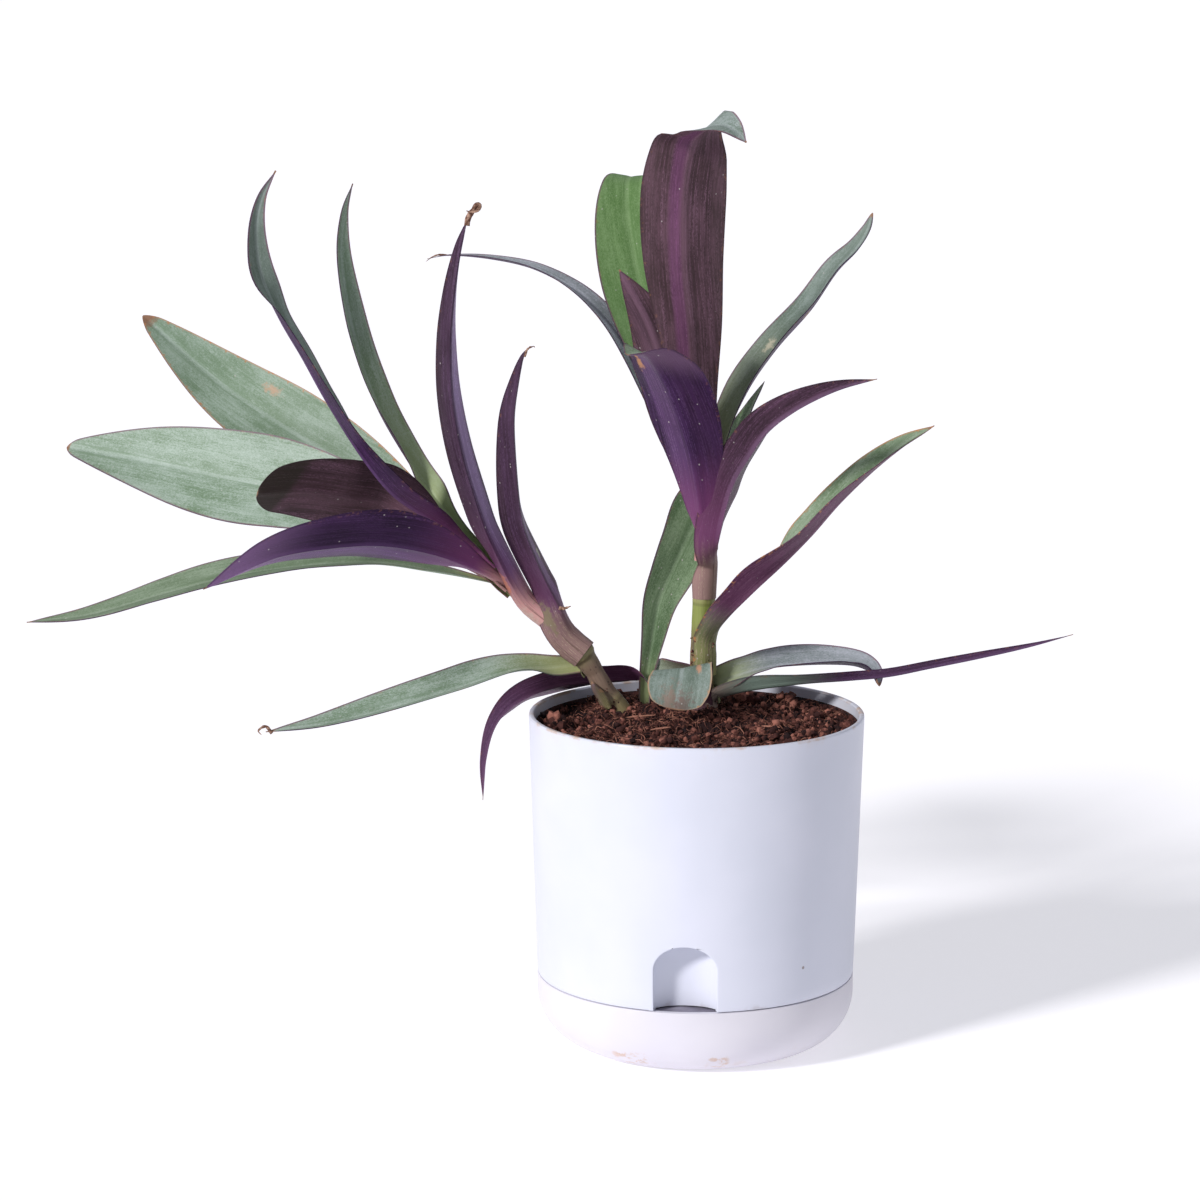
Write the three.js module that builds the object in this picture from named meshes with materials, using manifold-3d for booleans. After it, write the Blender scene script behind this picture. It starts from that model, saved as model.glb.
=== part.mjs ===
// A tradescantia in a self-watering planter: two leaning shoots of strap leaves that are green
// above and purple below, rooted in coconut-fibre soil. Millimetres, +Z up, the origin at the middle
// of the dish's flat underside, and the filling arch on the front, towards -Y.
import * as THREE from "three";
import { mergeVertices } from "three/addons/utils/BufferGeometryUtils.js";
import Module from "manifold-3d";

const wasm = await Module();
wasm.setup();

// Planter and dish.
const RIM_RADIUS = 57;
const RIM_HEIGHT = 114;
const SEAM_RADIUS = 54.2;
const SEAM_HEIGHT = 24;
const WALL = 1.8;
const CLEARANCE = 0.3;
const DISH_FILLET = 17.9;
const SKIRT_DEPTH = 5.8;
const SKIRT_WALL = 1.5;
const FOOT_RADIUS = 16;
const FOOT_BOTTOM = 2.1;
const FOOT_WALL = 1.6;
const SLOT_WIDTH = 3;
const SLOT_TOP = 18;
const ARCH_WIDTH = 21;
const ARCH_TOP = 46.5;
const NICHE_DEPTH = 8;
const NICHE_WALL = 1.6;
const ROUND_STEPS = 40;

// Soil.
const SOIL_LEVEL = 110.6;
const SOIL_RELIEF = 1.3;

// Leaves.
const LEAF_ROWS = 15;
const LEAF_COLUMNS = 4;
const RIB_THICKNESS = 1.0;
const EDGE_THICKNESS = 0.7;
const TIP_WIDTH = 1.6;
const SHEATH_STEP = 1.6;
const LEAF_GAP = 0.6;

const COLOURS = {
  planter: 0xdfe6ee,
  dish: 0xe9ebee,
  soil: 0x4f2c22,
  green: 0x7f9a78,
  purple: 0x5d3a63,
  stem: 0x8a7a4c,
};

// The stems, as [x, y, z, radius] along each one from below the soil up to its growing tip.
const STEMS = {
  left: [
    [-22.8, 17.6, 99.5, 4.8],
    [-27.5, 17.0, 109.5, 4.5],
    [-32.3, 16.0, 116.5, 3.8],
    [-36.0, 15.0, 124.0, 3.3],
    [-39.2, 14.3, 128.7, 4.0],
    [-41.0, 13.9, 131.1, 4.8],
    [-41.6, 13.9, 131.8, 1.3],
    [-43.5, 13.7, 133.8, 1.3],
    [-48.0, 13.5, 138.5, 1.3],
    [-58.0, 13.0, 148.0, 1.4],
    [-67.5, 13.0, 156.0, 1.6],
    [-74.0, 13.5, 162.0, 1.8],
    [-79.0, 14.0, 168.0, 1.8],
  ],
  right: [
    [1.0, 20.5, 98.0, 4.4],
    [0.6, 21.0, 108.4, 4.4],
    [0.2, 21.0, 120.7, 4.2],
    [0.5, 21.0, 133.0, 4.0],
    [1.1, 21.0, 150.0, 3.9],
    [1.15, 21.0, 151.2, 1.9],
    [1.7, 21.0, 162.7, 1.8],
    [2.0, 21.0, 173.2, 1.6],
    [2.3, 21.0, 183.0, 1.5],
    [2.5, 21.0, 190.0, 1.3],
  ],
};

// Each leaf clasps its stem over the stretch `sheath`, in millimetres along the stem, on the side
// `side`, in the layer `layer` counted outwards, with each edge wrapped `wrap` degrees round. A sheath
// that closes to a tube at its foot is wrapped `close` degrees there. Then the midrib follows `route`.
// A leaf with no stem starts at its first route point, `start` wide. `faces` gives the direction of the
// upper face at shares of the leaf's length, `fold` the slope of each half at the midrib and `curl`
// what that slope gains towards the edge, in degrees. The leaf is `width` wide at the share `widest`
// of its length, and a blunt one keeps the share `tip` of that width at its end. `columns` is how many
// strips make up its width, and `under` marks a leaf that shows its purple under face.
const LEAVES = [
  {
    name: "left_leaf_right_upright",
    stem: "left",
    sheath: [37.5, 45.5],
    side: [0.8, -0.6, 0.2],
    layer: 3,
    wrap: 100,
    close: 158,
    columns: 6,
    route: [[-48.5, 8, 149], [-52.5, 4, 158.5], [-55.5, 0, 167], [-58.5, -3, 176.5],
      [-60, -5, 186.5], [-61, -8, 204], [-61, -10, 216], [-59.5, -11, 226.5], [-57.5, -12, 235.5],
      [-55, -12, 239.5]],
    faces: [[0.2, -0.42, 0.9, 0.2], [0.5, -0.55, 0.83, 0.2], [0.8, -0.65, 0.75, 0.25],
      [1, -0.6, 0.75, 0.3]],
    width: 20,
    widest: 0.33,
    fold: 60,
    curl: 8,
    under: true,
  },
  {
    name: "left_leaf_front_upright",
    stem: "left",
    sheath: [38.5, 64.5],
    side: [-0.1, -0.95, -0.1],
    layer: 2,
    wrap: 112,
    close: 158,
    columns: 6,
    route: [[-69.5, -3, 171], [-73.5, -6, 183], [-78.5, -10, 202.5], [-81.5, -12, 221.5],
      [-82, -12, 239.5], [-81, -11, 255], [-79, -9, 269.5], [-76.5, -8, 280.5]],
    faces: [[0.35, -0.25, 0.95, 0.3], [0.6, -0.24, 0.95, 0.2], [1, -0.4, 0.85, 0.3]],
    width: 20,
    widest: 0.45,
    tip: 0.08,
    fold: 59,
    curl: 8,
    under: true,
  },
  {
    name: "left_leaf_low_front_arched",
    stem: "left",
    sheath: [60, 75],
    side: [-0.2, -0.95, -0.3],
    layer: 1,
    wrap: 60,
    route: [[-84, -7, 167], [-102, -22, 173.5], [-119, -36, 175], [-137, -48, 173],
      [-157, -60, 164.5]],
    faces: [[0.4, -0.3, 0.7, 0.6], [0.75, -0.35, 0.65, 0.65], [1, -0.6, 0.5, 0.6]],
    width: 26,
    widest: 0.5,
    fold: 18,
    curl: 12,
    under: true,
  },
  {
    name: "left_leaf_low_long",
    stem: "left",
    sheath: [64, 74],
    side: [-0.5, 0.1, -0.85],
    layer: 1,
    wrap: 40,
    route: [[-93, 16, 158.5], [-114, 18, 160.5], [-139, 20, 158.5], [-164, 22, 154], [-189, 24, 147],
      [-215, 26, 139], [-238, 28, 135.5]],
    faces: [[0.4, 0.05, -0.2, 1], [0.7, -0.15, -0.35, 0.9], [1, -0.2, -0.4, 0.88]],
    width: 22,
    widest: 0.45,
    fold: 12,
    curl: 6,
  },
  {
    name: "left_leaf_twisted",
    stem: "left",
    sheath: [78, 86],
    side: [-0.3, -0.95, 0.2],
    layer: 1,
    wrap: 60,
    route: [[-91.5, 4, 178], [-103.5, 0, 187.5], [-113.5, -3, 201], [-124, -6, 219],
      [-132, -8, 234.5], [-139.5, -8, 247.5], [-145.5, -8, 261], [-147.5, -7, 275], [-146, -5, 287],
      [-141, -4, 296.5]],
    faces: [[0.25, 0.75, 0.5, 0.4], [0.5, 0.88, 0.15, 0.4], [0.68, 0.95, 0.0, 0.3],
      [0.82, 0.5, -0.85, 0.2], [1, 0.3, -0.9, 0.1]],
    width: 19,
    widest: 0.3,
    fold: 16,
    curl: 8,
  },
  {
    name: "left_leaf_short_front",
    stem: "left",
    sheath: [70, 80],
    side: [-0.9, -0.2, -0.1],
    layer: 1,
    wrap: 45,
    route: [[-106, 16, 180], [-120.5, 6, 185.5], [-134.5, -5, 189], [-147, -16, 189.5]],
    faces: [[0.4, -0.2, 0.88, 0.4], [1, -0.35, 0.85, 0.4]],
    width: 29,
    widest: 0.55,
    tip: 0.45,
    fold: 5,
    curl: 8,
    under: true,
  },
  {
    name: "left_leaf_wide",
    stem: "left",
    sheath: [68, 78],
    side: [-0.5, 0.6, -0.6],
    layer: 2,
    wrap: 55,
    route: [[-94.5, 26, 165.5], [-122.5, 42, 175.5], [-148, 54, 180], [-173.5, 62, 183],
      [-201.5, 70, 187], [-233.5, 76, 191]],
    faces: [[0.4, 0.2, -0.85, 0.45], [0.7, 0.2, -0.9, 0.4], [1, 0.1, -0.8, 0.6]],
    width: 36,
    widest: 0.6,
    tip: 0.12,
    fold: 10,
    curl: 8,
  },
  {
    name: "left_leaf_upper_back",
    stem: "left",
    sheath: [74, 83],
    side: [-0.5, 0.8, 0.0],
    layer: 1,
    wrap: 50,
    route: [[-97, 38, 173], [-122, 57, 185], [-149, 72, 197.5], [-178.5, 84, 214],
      [-207.5, 90, 237.5]],
    faces: [[0.4, 0.15, -0.85, 0.45], [0.7, 0.1, -0.85, 0.5], [1, 0.1, -0.75, 0.6]],
    width: 31,
    widest: 0.6,
    tip: 0.12,
    fold: 10,
    curl: 6,
  },
  {
    name: "left_leaf_back_upright",
    stem: "left",
    sheath: [76, 86],
    side: [0.3, 0.9, 0.3],
    layer: 2,
    wrap: 60,
    route: [[-91, 28, 180], [-104, 38, 194.5], [-116, 46, 213], [-124.5, 52, 235.5],
      [-129, 56, 260.5], [-128.5, 58, 277], [-125, 58, 288]],
    faces: [[0.4, 0.9, -0.4, 0.2], [0.7, 0.8, -0.55, 0.1], [1, 0.6, -0.75, 0.1]],
    width: 15,
    widest: 0.45,
    fold: 26,
    curl: 10,
  },
  {
    name: "left_leaf_lowest",
    stem: "left",
    sheath: [28, 32.5],
    side: [-0.6, 0.75, -0.3],
    layer: 1,
    wrap: 48,
    route: [[-52, 15.5, 125], [-64.5, 9, 125], [-84.5, 1, 119.5], [-107.5, -6, 113.5],
      [-127.5, -12, 109.5], [-145, -18, 108]],
    faces: [[0.25, 0.0, -0.3, 0.95], [0.6, -0.1, -0.4, 0.9], [1, -0.2, -0.5, 0.85]],
    width: 18,
    widest: 0.4,
    fold: 24,
    curl: 10,
  },
  {
    name: "right_leaf_right_spread",
    stem: "right",
    sheath: [25, 38],
    side: [0.7, -0.7, 0.0],
    layer: 1,
    wrap: 75,
    route: [[9, 12, 144], [18.5, 8, 154.5], [28.5, 6, 164.5], [38, 6, 174.5], [47.5, 8, 185.5],
      [58.5, 12, 196], [68.5, 16, 204], [79, 18, 210.5]],
    faces: [[0.3, -0.7, 0.5, 0.5], [0.55, -0.75, -0.1, 0.65], [1, -0.5, -0.6, 0.65]],
    width: 22,
    widest: 0.5,
    fold: 24,
    curl: 10,
  },
  {
    name: "right_leaf_front_bent",
    stem: "right",
    sheath: [57, 70],
    side: [-0.25, -0.97, 0.0],
    layer: 1,
    wrap: 82,
    columns: 6,
    route: [[0.2, 6, 186.5], [-2.5, -4, 205], [-8, -16, 224.5], [-14.5, -28, 238.5], [-21, -37, 240]],
    faces: [[0.5, 0.2, 0.9, 0.3], [0.78, 0.3, 0.7, 0.7], [0.9, 0.15, 0.2, 0.95],
      [1, -0.1, -0.35, 0.93]],
    width: 28,
    widest: 0.74,
    tip: 0.24,
    fold: 12,
    curl: 10,
    under: true,
  },
  {
    name: "right_leaf_right_arched",
    stem: "right",
    sheath: [53.4, 66],
    side: [0.9, -0.45, 0.0],
    layer: 2,
    wrap: 95,
    close: 158,
    columns: 6,
    route: [[6, 11, 169.5], [8.5, 6, 181], [12, 0, 192.5], [17.5, -6, 202.5], [23.5, -11, 211.5],
      [31.5, -15, 218.5], [40.5, -18, 224], [49.5, -20, 228], [60, -22, 231]],
    faces: [[0.35, -0.35, 0.87, 0.35], [0.7, -0.3, 0.75, 0.6], [1, -0.3, 0.2, 0.93]],
    width: 20,
    widest: 0.4,
    fold: 45,
    curl: 10,
    under: true,
  },
  {
    name: "right_leaf_front_tall",
    stem: "right",
    sheath: [72, 85],
    side: [0.0, -1.0, 0.0],
    layer: 1,
    wrap: 85,
    route: [[1, 13, 195], [-1.5, 9, 219.5], [-3, 5, 243.5], [-5, 1, 267.5], [-4.5, -4, 290],
      [-2, -8, 305.5], [1.5, -13, 310.5], [6.5, -19, 313], [12, -25, 312.5], [17, -28, 308]],
    faces: [[0.4, -0.1, 0.95, 0.1], [0.79, -0.15, 0.95, 0.15], [0.865, -0.5, 0.15, 0.85],
      [0.93, -0.35, -0.35, 0.87], [1, -0.3, -0.5, 0.8]],
    width: 29.5,
    widest: 0.7,
    fold: 10,
    curl: 8,
    under: true,
  },
  {
    name: "right_leaf_small_side",
    stem: "right",
    sheath: [66, 78],
    side: [-0.9, -0.3, 0.0],
    layer: 2,
    wrap: 45,
    route: [[-4, 18, 201], [-10.5, 14, 224], [-17, 10, 244.5], [-27, 6, 263.5]],
    faces: [[0.4, 0.3, 0.93, 0.15], [1, 0.3, 0.93, 0.15]],
    width: 25,
    widest: 0.5,
    fold: 8,
    curl: 6,
    under: true,
  },
  {
    name: "right_leaf_right_back",
    stem: "right",
    sheath: [70, 82],
    side: [0.7, 0.7, 0.0],
    layer: 2,
    wrap: 55,
    route: [[6, 34, 198.5], [13.5, 40, 217.5], [23.5, 46, 232.5], [35.5, 54, 246], [44, 59, 258.5],
      [51, 62, 266], [55, 64, 272.5], [56.5, 65, 278.5]],
    faces: [[0.4, -0.75, -0.45, 0.5], [0.7, -0.75, -0.4, 0.5], [1, -0.7, -0.6, 0.4]],
    width: 19,
    widest: 0.45,
    tip: 0.2,
    fold: 22,
    curl: 10,
  },
  {
    name: "right_leaf_left_arched",
    stem: "right",
    sheath: [72, 84],
    side: [-0.8, 0.6, 0.0],
    layer: 2,
    wrap: 50,
    route: [[-12, 34, 205.5], [-26, 40, 231], [-35, 44, 243], [-46, 48, 252.5], [-60.5, 52, 259.5],
      [-76.5, 56, 262.5], [-91, 60, 263], [-99.5, 62, 261.5]],
    faces: [[0.35, 0.6, -0.5, 0.6], [0.6, 0.15, -0.15, 0.97], [1, -0.1, 0.0, 1]],
    width: 14,
    widest: 0.25,
    fold: 12,
    curl: 6,
  },
  {
    name: "right_leaf_back_tall",
    stem: "right",
    sheath: [74, 88],
    side: [-0.3, 0.95, 0.0],
    layer: 1,
    wrap: 70,
    route: [[-5.5, 34, 202.5], [-14.5, 42, 229], [-23, 50, 252.5], [-28, 58, 274], [-29.5, 68, 287],
      [-29, 80, 289.5], [-28.5, 92, 285]],
    faces: [[0.4, 0.3, -0.9, 0.2], [0.7, 0.1, -0.7, 0.6], [1, 0.0, 0.2, 0.95]],
    width: 28,
    widest: 0.6,
    fold: 6,
    curl: 5,
  },
  {
    name: "right_leaf_from_soil",
    route: [[-20.5, 24.5, 103], [-20, 25.5, 109.5], [-19.5, 27, 119], [-17.5, 30, 132.5],
      [-15.5, 34, 145], [-11.5, 38, 155], [-6.5, 42, 166], [5.5, 46, 192], [20, 50, 221]],
    faces: [[0, 0.4, -0.9, 0.1], [0.5, 0.35, -0.93, 0.15], [0.75, -0.85, -0.5, 0.2],
      [1, -0.95, -0.25, 0.15]],
    width: 20,
    widest: 0.6,
    start: 4,
    tip: 0.15,
    fold: 8,
    curl: 8,
  },
  {
    name: "right_leaf_drooping",
    stem: "right",
    sheath: [13, 20],
    side: [-0.8, 0.6, 0.0],
    layer: 1,
    wrap: 80,
    route: [[-13, 27, 119.5], [-31, 29, 118.5], [-48.5, 23.5, 117.5], [-61, 9.5, 115],
      [-68.5, -1, 109], [-71.5, -7, 98], [-72, -10, 84]],
    faces: [[0.3, 0.0, 0.6, 0.8], [0.52, -0.3, 0.7, 0.6], [0.75, -0.93, 0.2, 0.3],
      [1, -0.97, 0.1, 0.1]],
    width: 15,
    widest: 0.5,
    fold: 14,
    curl: 10,
    under: true,
  },
  {
    name: "right_leaf_cut",
    stem: "right",
    sheath: [12, 16],
    side: [-0.2, -1.0, 0.0],
    layer: 1,
    wrap: 60,
    route: [[-2, 14, 118.5], [-2.5, 7, 121.5], [-4.5, 0, 129], [-5, -5, 126.5], [-6, -8.5, 120.5],
      [-6.5, -9.5, 116.5]],
    faces: [[0.4, -0.12, -0.5, 0.9], [0.6, -0.22, -0.2, 0.96], [0.76, -0.14, -0.9, 0.4],
      [1, -0.05, -0.97, 0.25]],
    width: 22,
    widest: 0.8,
    tip: 0.6,
    fold: 1.0,
    curl: 4,
  },
  {
    name: "right_leaf_low_arched",
    stem: "right",
    sheath: [15, 21],
    side: [0.9, 0.43, 0.0],
    layer: 2,
    wrap: 50,
    route: [[13.5, 24, 122], [24, 27, 124.5], [34, 28, 125.5], [44.5, 28, 126], [53, 26, 126],
      [58.5, 22, 124.5], [61.5, 17, 120.5]],
    faces: [[0.4, -0.1, -0.3, 0.95], [0.8, 0.1, -0.2, 0.95], [1, 0.6, 0.2, 0.7]],
    width: 17,
    widest: 0.5,
    tip: 0.3,
    fold: 22,
    curl: 10,
  },
  {
    name: "right_leaf_low_long",
    stem: "right",
    sheath: [12, 16],
    side: [1.0, -0.2, 0.0],
    layer: 1,
    wrap: 60,
    route: [[15.5, 20, 117.5], [34.5, 20, 120.5], [51.5, 18, 122.5], [65, 16, 124.5], [79, 14, 128],
      [95.5, 10, 132.5], [112.5, 6, 137.5], [126.5, 2, 142.5]],
    faces: [[0.3, -0.1, 0.3, 0.9], [1, -0.15, 0.4, 0.9]],
    width: 9,
    widest: 0.35,
    fold: 26,
    curl: 10,
    under: true,
  },
];

const radians = THREE.MathUtils.degToRad;

function vector(numbers) {
  return new THREE.Vector3(numbers[0], numbers[1], numbers[2]);
}

// A smooth step from 0 to 1 between two values.
function ease(from, to, value) {
  return THREE.MathUtils.smoothstep(value, from, to);
}

function closedGeometry(positions, indices) {
  const geometry = new THREE.BufferGeometry();
  geometry.setAttribute("position", new THREE.Float32BufferAttribute(positions, 3));
  geometry.setIndex(indices);
  return geometry;
}

// The volume inside the triangles: below zero, they face inwards and have to be turned over.
function signedVolume(geometry) {
  const points = geometry.getAttribute("position");
  const index = geometry.getIndex();
  const a = new THREE.Vector3();
  const b = new THREE.Vector3();
  const c = new THREE.Vector3();
  let sum = 0;
  for (let i = 0; i < index.count; i += 3) {
    a.fromBufferAttribute(points, index.getX(i));
    b.fromBufferAttribute(points, index.getX(i + 1));
    c.fromBufferAttribute(points, index.getX(i + 2));
    sum += a.dot(b.cross(c)) / 6;
  }
  return sum;
}

function solid(source) {
  let geometry = source.clone();
  geometry.deleteAttribute("normal");
  geometry.deleteAttribute("uv");
  geometry = mergeVertices(geometry, 1e-4);
  const index = geometry.getIndex();
  const flip = signedVolume(geometry) < 0;
  const triangles = new Uint32Array(index.count);
  for (let i = 0; i < index.count; i += 3) {
    triangles[i] = index.getX(i);
    triangles[i + 1] = index.getX(flip ? i + 2 : i + 1);
    triangles[i + 2] = index.getX(flip ? i + 1 : i + 2);
  }
  const vertices = Float32Array.from(geometry.getAttribute("position").array);
  const mesh = new wasm.Mesh({ numProp: 3, vertProperties: vertices, triVerts: triangles });
  return new wasm.Manifold(mesh);
}

function toGeometry(manifold) {
  const mesh = manifold.getMesh();
  return closedGeometry(Array.from(mesh.vertProperties), Array.from(mesh.triVerts));
}

// The largest body of a cut piece, without the scraps beyond the cut.
function mainBody(manifold) {
  const bodies = manifold.decompose();
  bodies.sort((one, other) => other.volume() - one.volume());
  return bodies[0];
}

// A solid of revolution about the pot's upright axis from [radius, height] pairs.
function turned(profile) {
  const points = profile.map(([radius, height]) => new THREE.Vector2(radius, height));
  const geometry = new THREE.LatheGeometry(points, ROUND_STEPS);
  geometry.rotateX(Math.PI / 2);
  return solid(geometry);
}

// The planter's outer radius at a height: its wall widens evenly from the seam to the rim.
function wallRadius(height) {
  const share = (height - SEAM_HEIGHT) / (RIM_HEIGHT - SEAM_HEIGHT);
  return THREE.MathUtils.lerp(SEAM_RADIUS, RIM_RADIUS, share);
}

// The space behind the filling arch: an arch run back from the front, inside an upright oval column
// that gives it its hollow back. `grow` widens it to the outside of its shell.
function nicheSpace(grow, bottom) {
  const half = ARCH_WIDTH / 2 + grow;
  const spring = ARCH_TOP - ARCH_WIDTH / 2 + 2;
  const outline = new THREE.Shape();
  outline.moveTo(-half, bottom);
  outline.lineTo(half, bottom);
  outline.lineTo(half, spring);
  outline.absellipse(0, spring, half, ARCH_TOP + grow - spring, 0, Math.PI);
  outline.lineTo(-half, bottom);
  const arch = new THREE.ExtrudeGeometry(outline, { depth: 40, bevelEnabled: false, curveSegments: 16 });
  arch.rotateX(Math.PI / 2);
  arch.translate(0, -30, 0);
  const column = new THREE.CylinderGeometry(1, 1, 80, 40);
  column.rotateX(Math.PI / 2);
  column.scale(half + 1.2, NICHE_DEPTH + grow, 1);
  column.translate(0, -SEAM_RADIUS + 0.4, bottom + 40);
  return solid(arch).intersect(solid(column));
}

function planterSolid() {
  const base = SEAM_HEIGHT + CLEARANCE / 2;
  const footInside = FOOT_RADIUS - FOOT_WALL;
  const skirtOutside = SEAM_RADIUS - WALL - CLEARANCE;
  const skirtBottom = base - SKIRT_DEPTH;
  const body = turned([
    [0, FOOT_BOTTOM],
    [FOOT_RADIUS, FOOT_BOTTOM],
    [FOOT_RADIUS + 0.8, base],
    [skirtOutside - SKIRT_WALL, base],
    [skirtOutside - SKIRT_WALL, skirtBottom],
    [skirtOutside, skirtBottom],
    [skirtOutside, base],
    [SEAM_RADIUS - 0.4, base],
    [SEAM_RADIUS, base + 0.4],
    [RIM_RADIUS - 0.1, RIM_HEIGHT - 0.9],
    [RIM_RADIUS - 0.5, RIM_HEIGHT],
    [RIM_RADIUS - WALL + 0.4, RIM_HEIGHT],
    [RIM_RADIUS - WALL - 0.1, RIM_HEIGHT - 0.7],
    [SEAM_RADIUS - WALL, base + 2.6],
    [SEAM_RADIUS - WALL - 0.9, base + WALL],
    [footInside + 0.8, base + WALL],
    [footInside, FOOT_BOTTOM + WALL],
    [0, FOOT_BOTTOM + WALL],
  ]);
  const outside = turned([
    [0, base],
    [SEAM_RADIUS, base],
    [RIM_RADIUS, RIM_HEIGHT],
    [0, RIM_HEIGHT],
  ]);
  const shell = nicheSpace(NICHE_WALL, base).intersect(outside);
  let planter = body.add(shell).subtract(nicheSpace(0, 10));
  for (let turn = 0; turn < 2; turn += 1) {
    const slot = new THREE.BoxGeometry(60, SLOT_WIDTH, SLOT_TOP - FOOT_BOTTOM - WALL - 0.6);
    slot.translate(0, 0, (SLOT_TOP + FOOT_BOTTOM + WALL + 0.6) / 2);
    slot.rotateZ(Math.PI / 4 + (turn * Math.PI) / 2);
    planter = planter.subtract(solid(slot));
  }
  return planter;
}

function dishSolid() {
  const top = SEAM_HEIGHT - CLEARANCE / 2;
  const centre = SEAM_RADIUS - DISH_FILLET;
  const profile = [[0, 0]];
  for (let step = 0; step <= 6; step += 1) {
    const angle = (step / 6) * (Math.PI / 2);
    profile.push([centre + DISH_FILLET * Math.sin(angle), DISH_FILLET * (1 - Math.cos(angle))]);
  }
  profile.push([SEAM_RADIUS, top - 0.4]);
  profile.push([SEAM_RADIUS - 0.4, top]);
  profile.push([SEAM_RADIUS - WALL, top]);
  const inside = DISH_FILLET - WALL;
  for (let step = 4; step >= 0; step -= 1) {
    const angle = (step / 4) * (Math.PI / 2);
    profile.push([centre + inside * Math.sin(angle), DISH_FILLET - inside * Math.cos(angle)]);
  }
  profile.push([0, WALL]);
  return turned(profile);
}

// The height of the soil's crumbled surface above its mean level.
function soilRelief(x, y) {
  const broad = Math.sin(x * 0.13 + 1.1) * Math.cos(y * 0.16 - 0.6);
  const middle = Math.sin(x * 0.33 - y * 0.21 + 2.0) * 0.6;
  const fine = Math.cos(x * 0.55 + y * 0.62 + 0.4) * 0.4;
  return SOIL_RELIEF * 0.5 * (broad + middle + fine);
}

function soilSolid(stems) {
  const base = SEAM_HEIGHT + CLEARANCE / 2 + WALL + CLEARANCE;
  const footInside = FOOT_RADIUS - FOOT_WALL - CLEARANCE;
  const side = (height) => wallRadius(height) - WALL - CLEARANCE - 0.1;
  const rings = 5;
  const edge = side(SOIL_LEVEL) - 0.1;
  const profile = [
    [0, FOOT_BOTTOM + WALL + CLEARANCE],
    [footInside, FOOT_BOTTOM + WALL + CLEARANCE],
    [footInside + 0.8, base],
    [side(base) - 1.3, base],
    [side(base + 3), base + 3],
    [edge, SOIL_LEVEL],
  ];
  for (let ring = rings - 1; ring >= 0; ring -= 1) {
    profile.push([(edge * ring) / rings, SOIL_LEVEL]);
  }
  const points = profile.map(([radius, height]) => new THREE.Vector2(radius, height));
  const geometry = new THREE.LatheGeometry(points, ROUND_STEPS);
  geometry.rotateX(Math.PI / 2);
  const position = geometry.getAttribute("position");
  for (let i = 0; i < position.count; i += 1) {
    const x = position.getX(i);
    const y = position.getY(i);
    const radius = Math.hypot(x, y);
    if (Math.abs(position.getZ(i) - SOIL_LEVEL) < 0.01 && radius < edge - 1) {
      position.setZ(i, SOIL_LEVEL + soilRelief(x, y));
    }
  }
  let soil = solid(geometry).subtract(nicheSpace(NICHE_WALL + CLEARANCE, 10));
  for (const stem of stems) {
    soil = soil.subtract(stem);
  }
  return mainBody(soil);
}

// A stem: a round tube about a smooth line through its points, with flat ends.
function stemCurve(name) {
  const points = STEMS[name].map(vector);
  return new THREE.CatmullRomCurve3(points, false, "catmullrom", 0.5);
}

// The stem's radius at a share of its length, from the radii given at its points.
function stemRadius(name, curve, share) {
  const here = curve.getPointAt(share);
  const rows = STEMS[name];
  for (let i = 1; i < rows.length; i += 1) {
    if (here.z <= rows[i][2] || i === rows.length - 1) {
      const between = (here.z - rows[i - 1][2]) / (rows[i][2] - rows[i - 1][2]);
      return THREE.MathUtils.lerp(rows[i - 1][3], rows[i][3], THREE.MathUtils.clamp(between, 0, 1));
    }
  }
  return rows[rows.length - 1][3];
}

// Frames along a curve, carried from each to the next without twist.
function carriedFrames(curve, steps, face) {
  const frames = [];
  const normal = face.clone();
  for (let i = 0; i <= steps; i += 1) {
    const point = curve.getPointAt(i / steps);
    const tangent = curve.getTangentAt(i / steps);
    normal.addScaledVector(tangent, -normal.dot(tangent)).normalize();
    const side = new THREE.Vector3().crossVectors(tangent, normal);
    frames.push({ point, tangent, side, normal: normal.clone() });
  }
  return frames;
}

function stemSolid(name, grow) {
  const curve = stemCurve(name);
  const steps = 16;
  const around = 10;
  const frames = carriedFrames(curve, steps, new THREE.Vector3(0, -1, 0));
  const positions = [];
  const indices = [];
  for (let i = 0; i <= steps; i += 1) {
    const frame = frames[i];
    const radius = stemRadius(name, curve, i / steps) + grow;
    const slip = i === 0 ? -grow : i === steps ? grow : 0;
    for (let j = 0; j < around; j += 1) {
      const angle = (j / around) * 2 * Math.PI;
      const point = frame.point.clone().addScaledVector(frame.tangent, slip);
      point.addScaledVector(frame.side, radius * Math.cos(angle));
      point.addScaledVector(frame.normal, radius * Math.sin(angle));
      positions.push(point.x, point.y, point.z);
    }
  }
  for (let i = 0; i < steps; i += 1) {
    for (let j = 0; j < around; j += 1) {
      const a = i * around + j;
      const b = i * around + ((j + 1) % around);
      indices.push(a, b, b + around, a, b + around, a + around);
    }
  }
  for (let j = 1; j < around - 1; j += 1) {
    const top = steps * around;
    indices.push(0, j + 1, j, top, top + j, top + j + 1);
  }
  return solid(closedGeometry(positions, indices));
}

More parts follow.
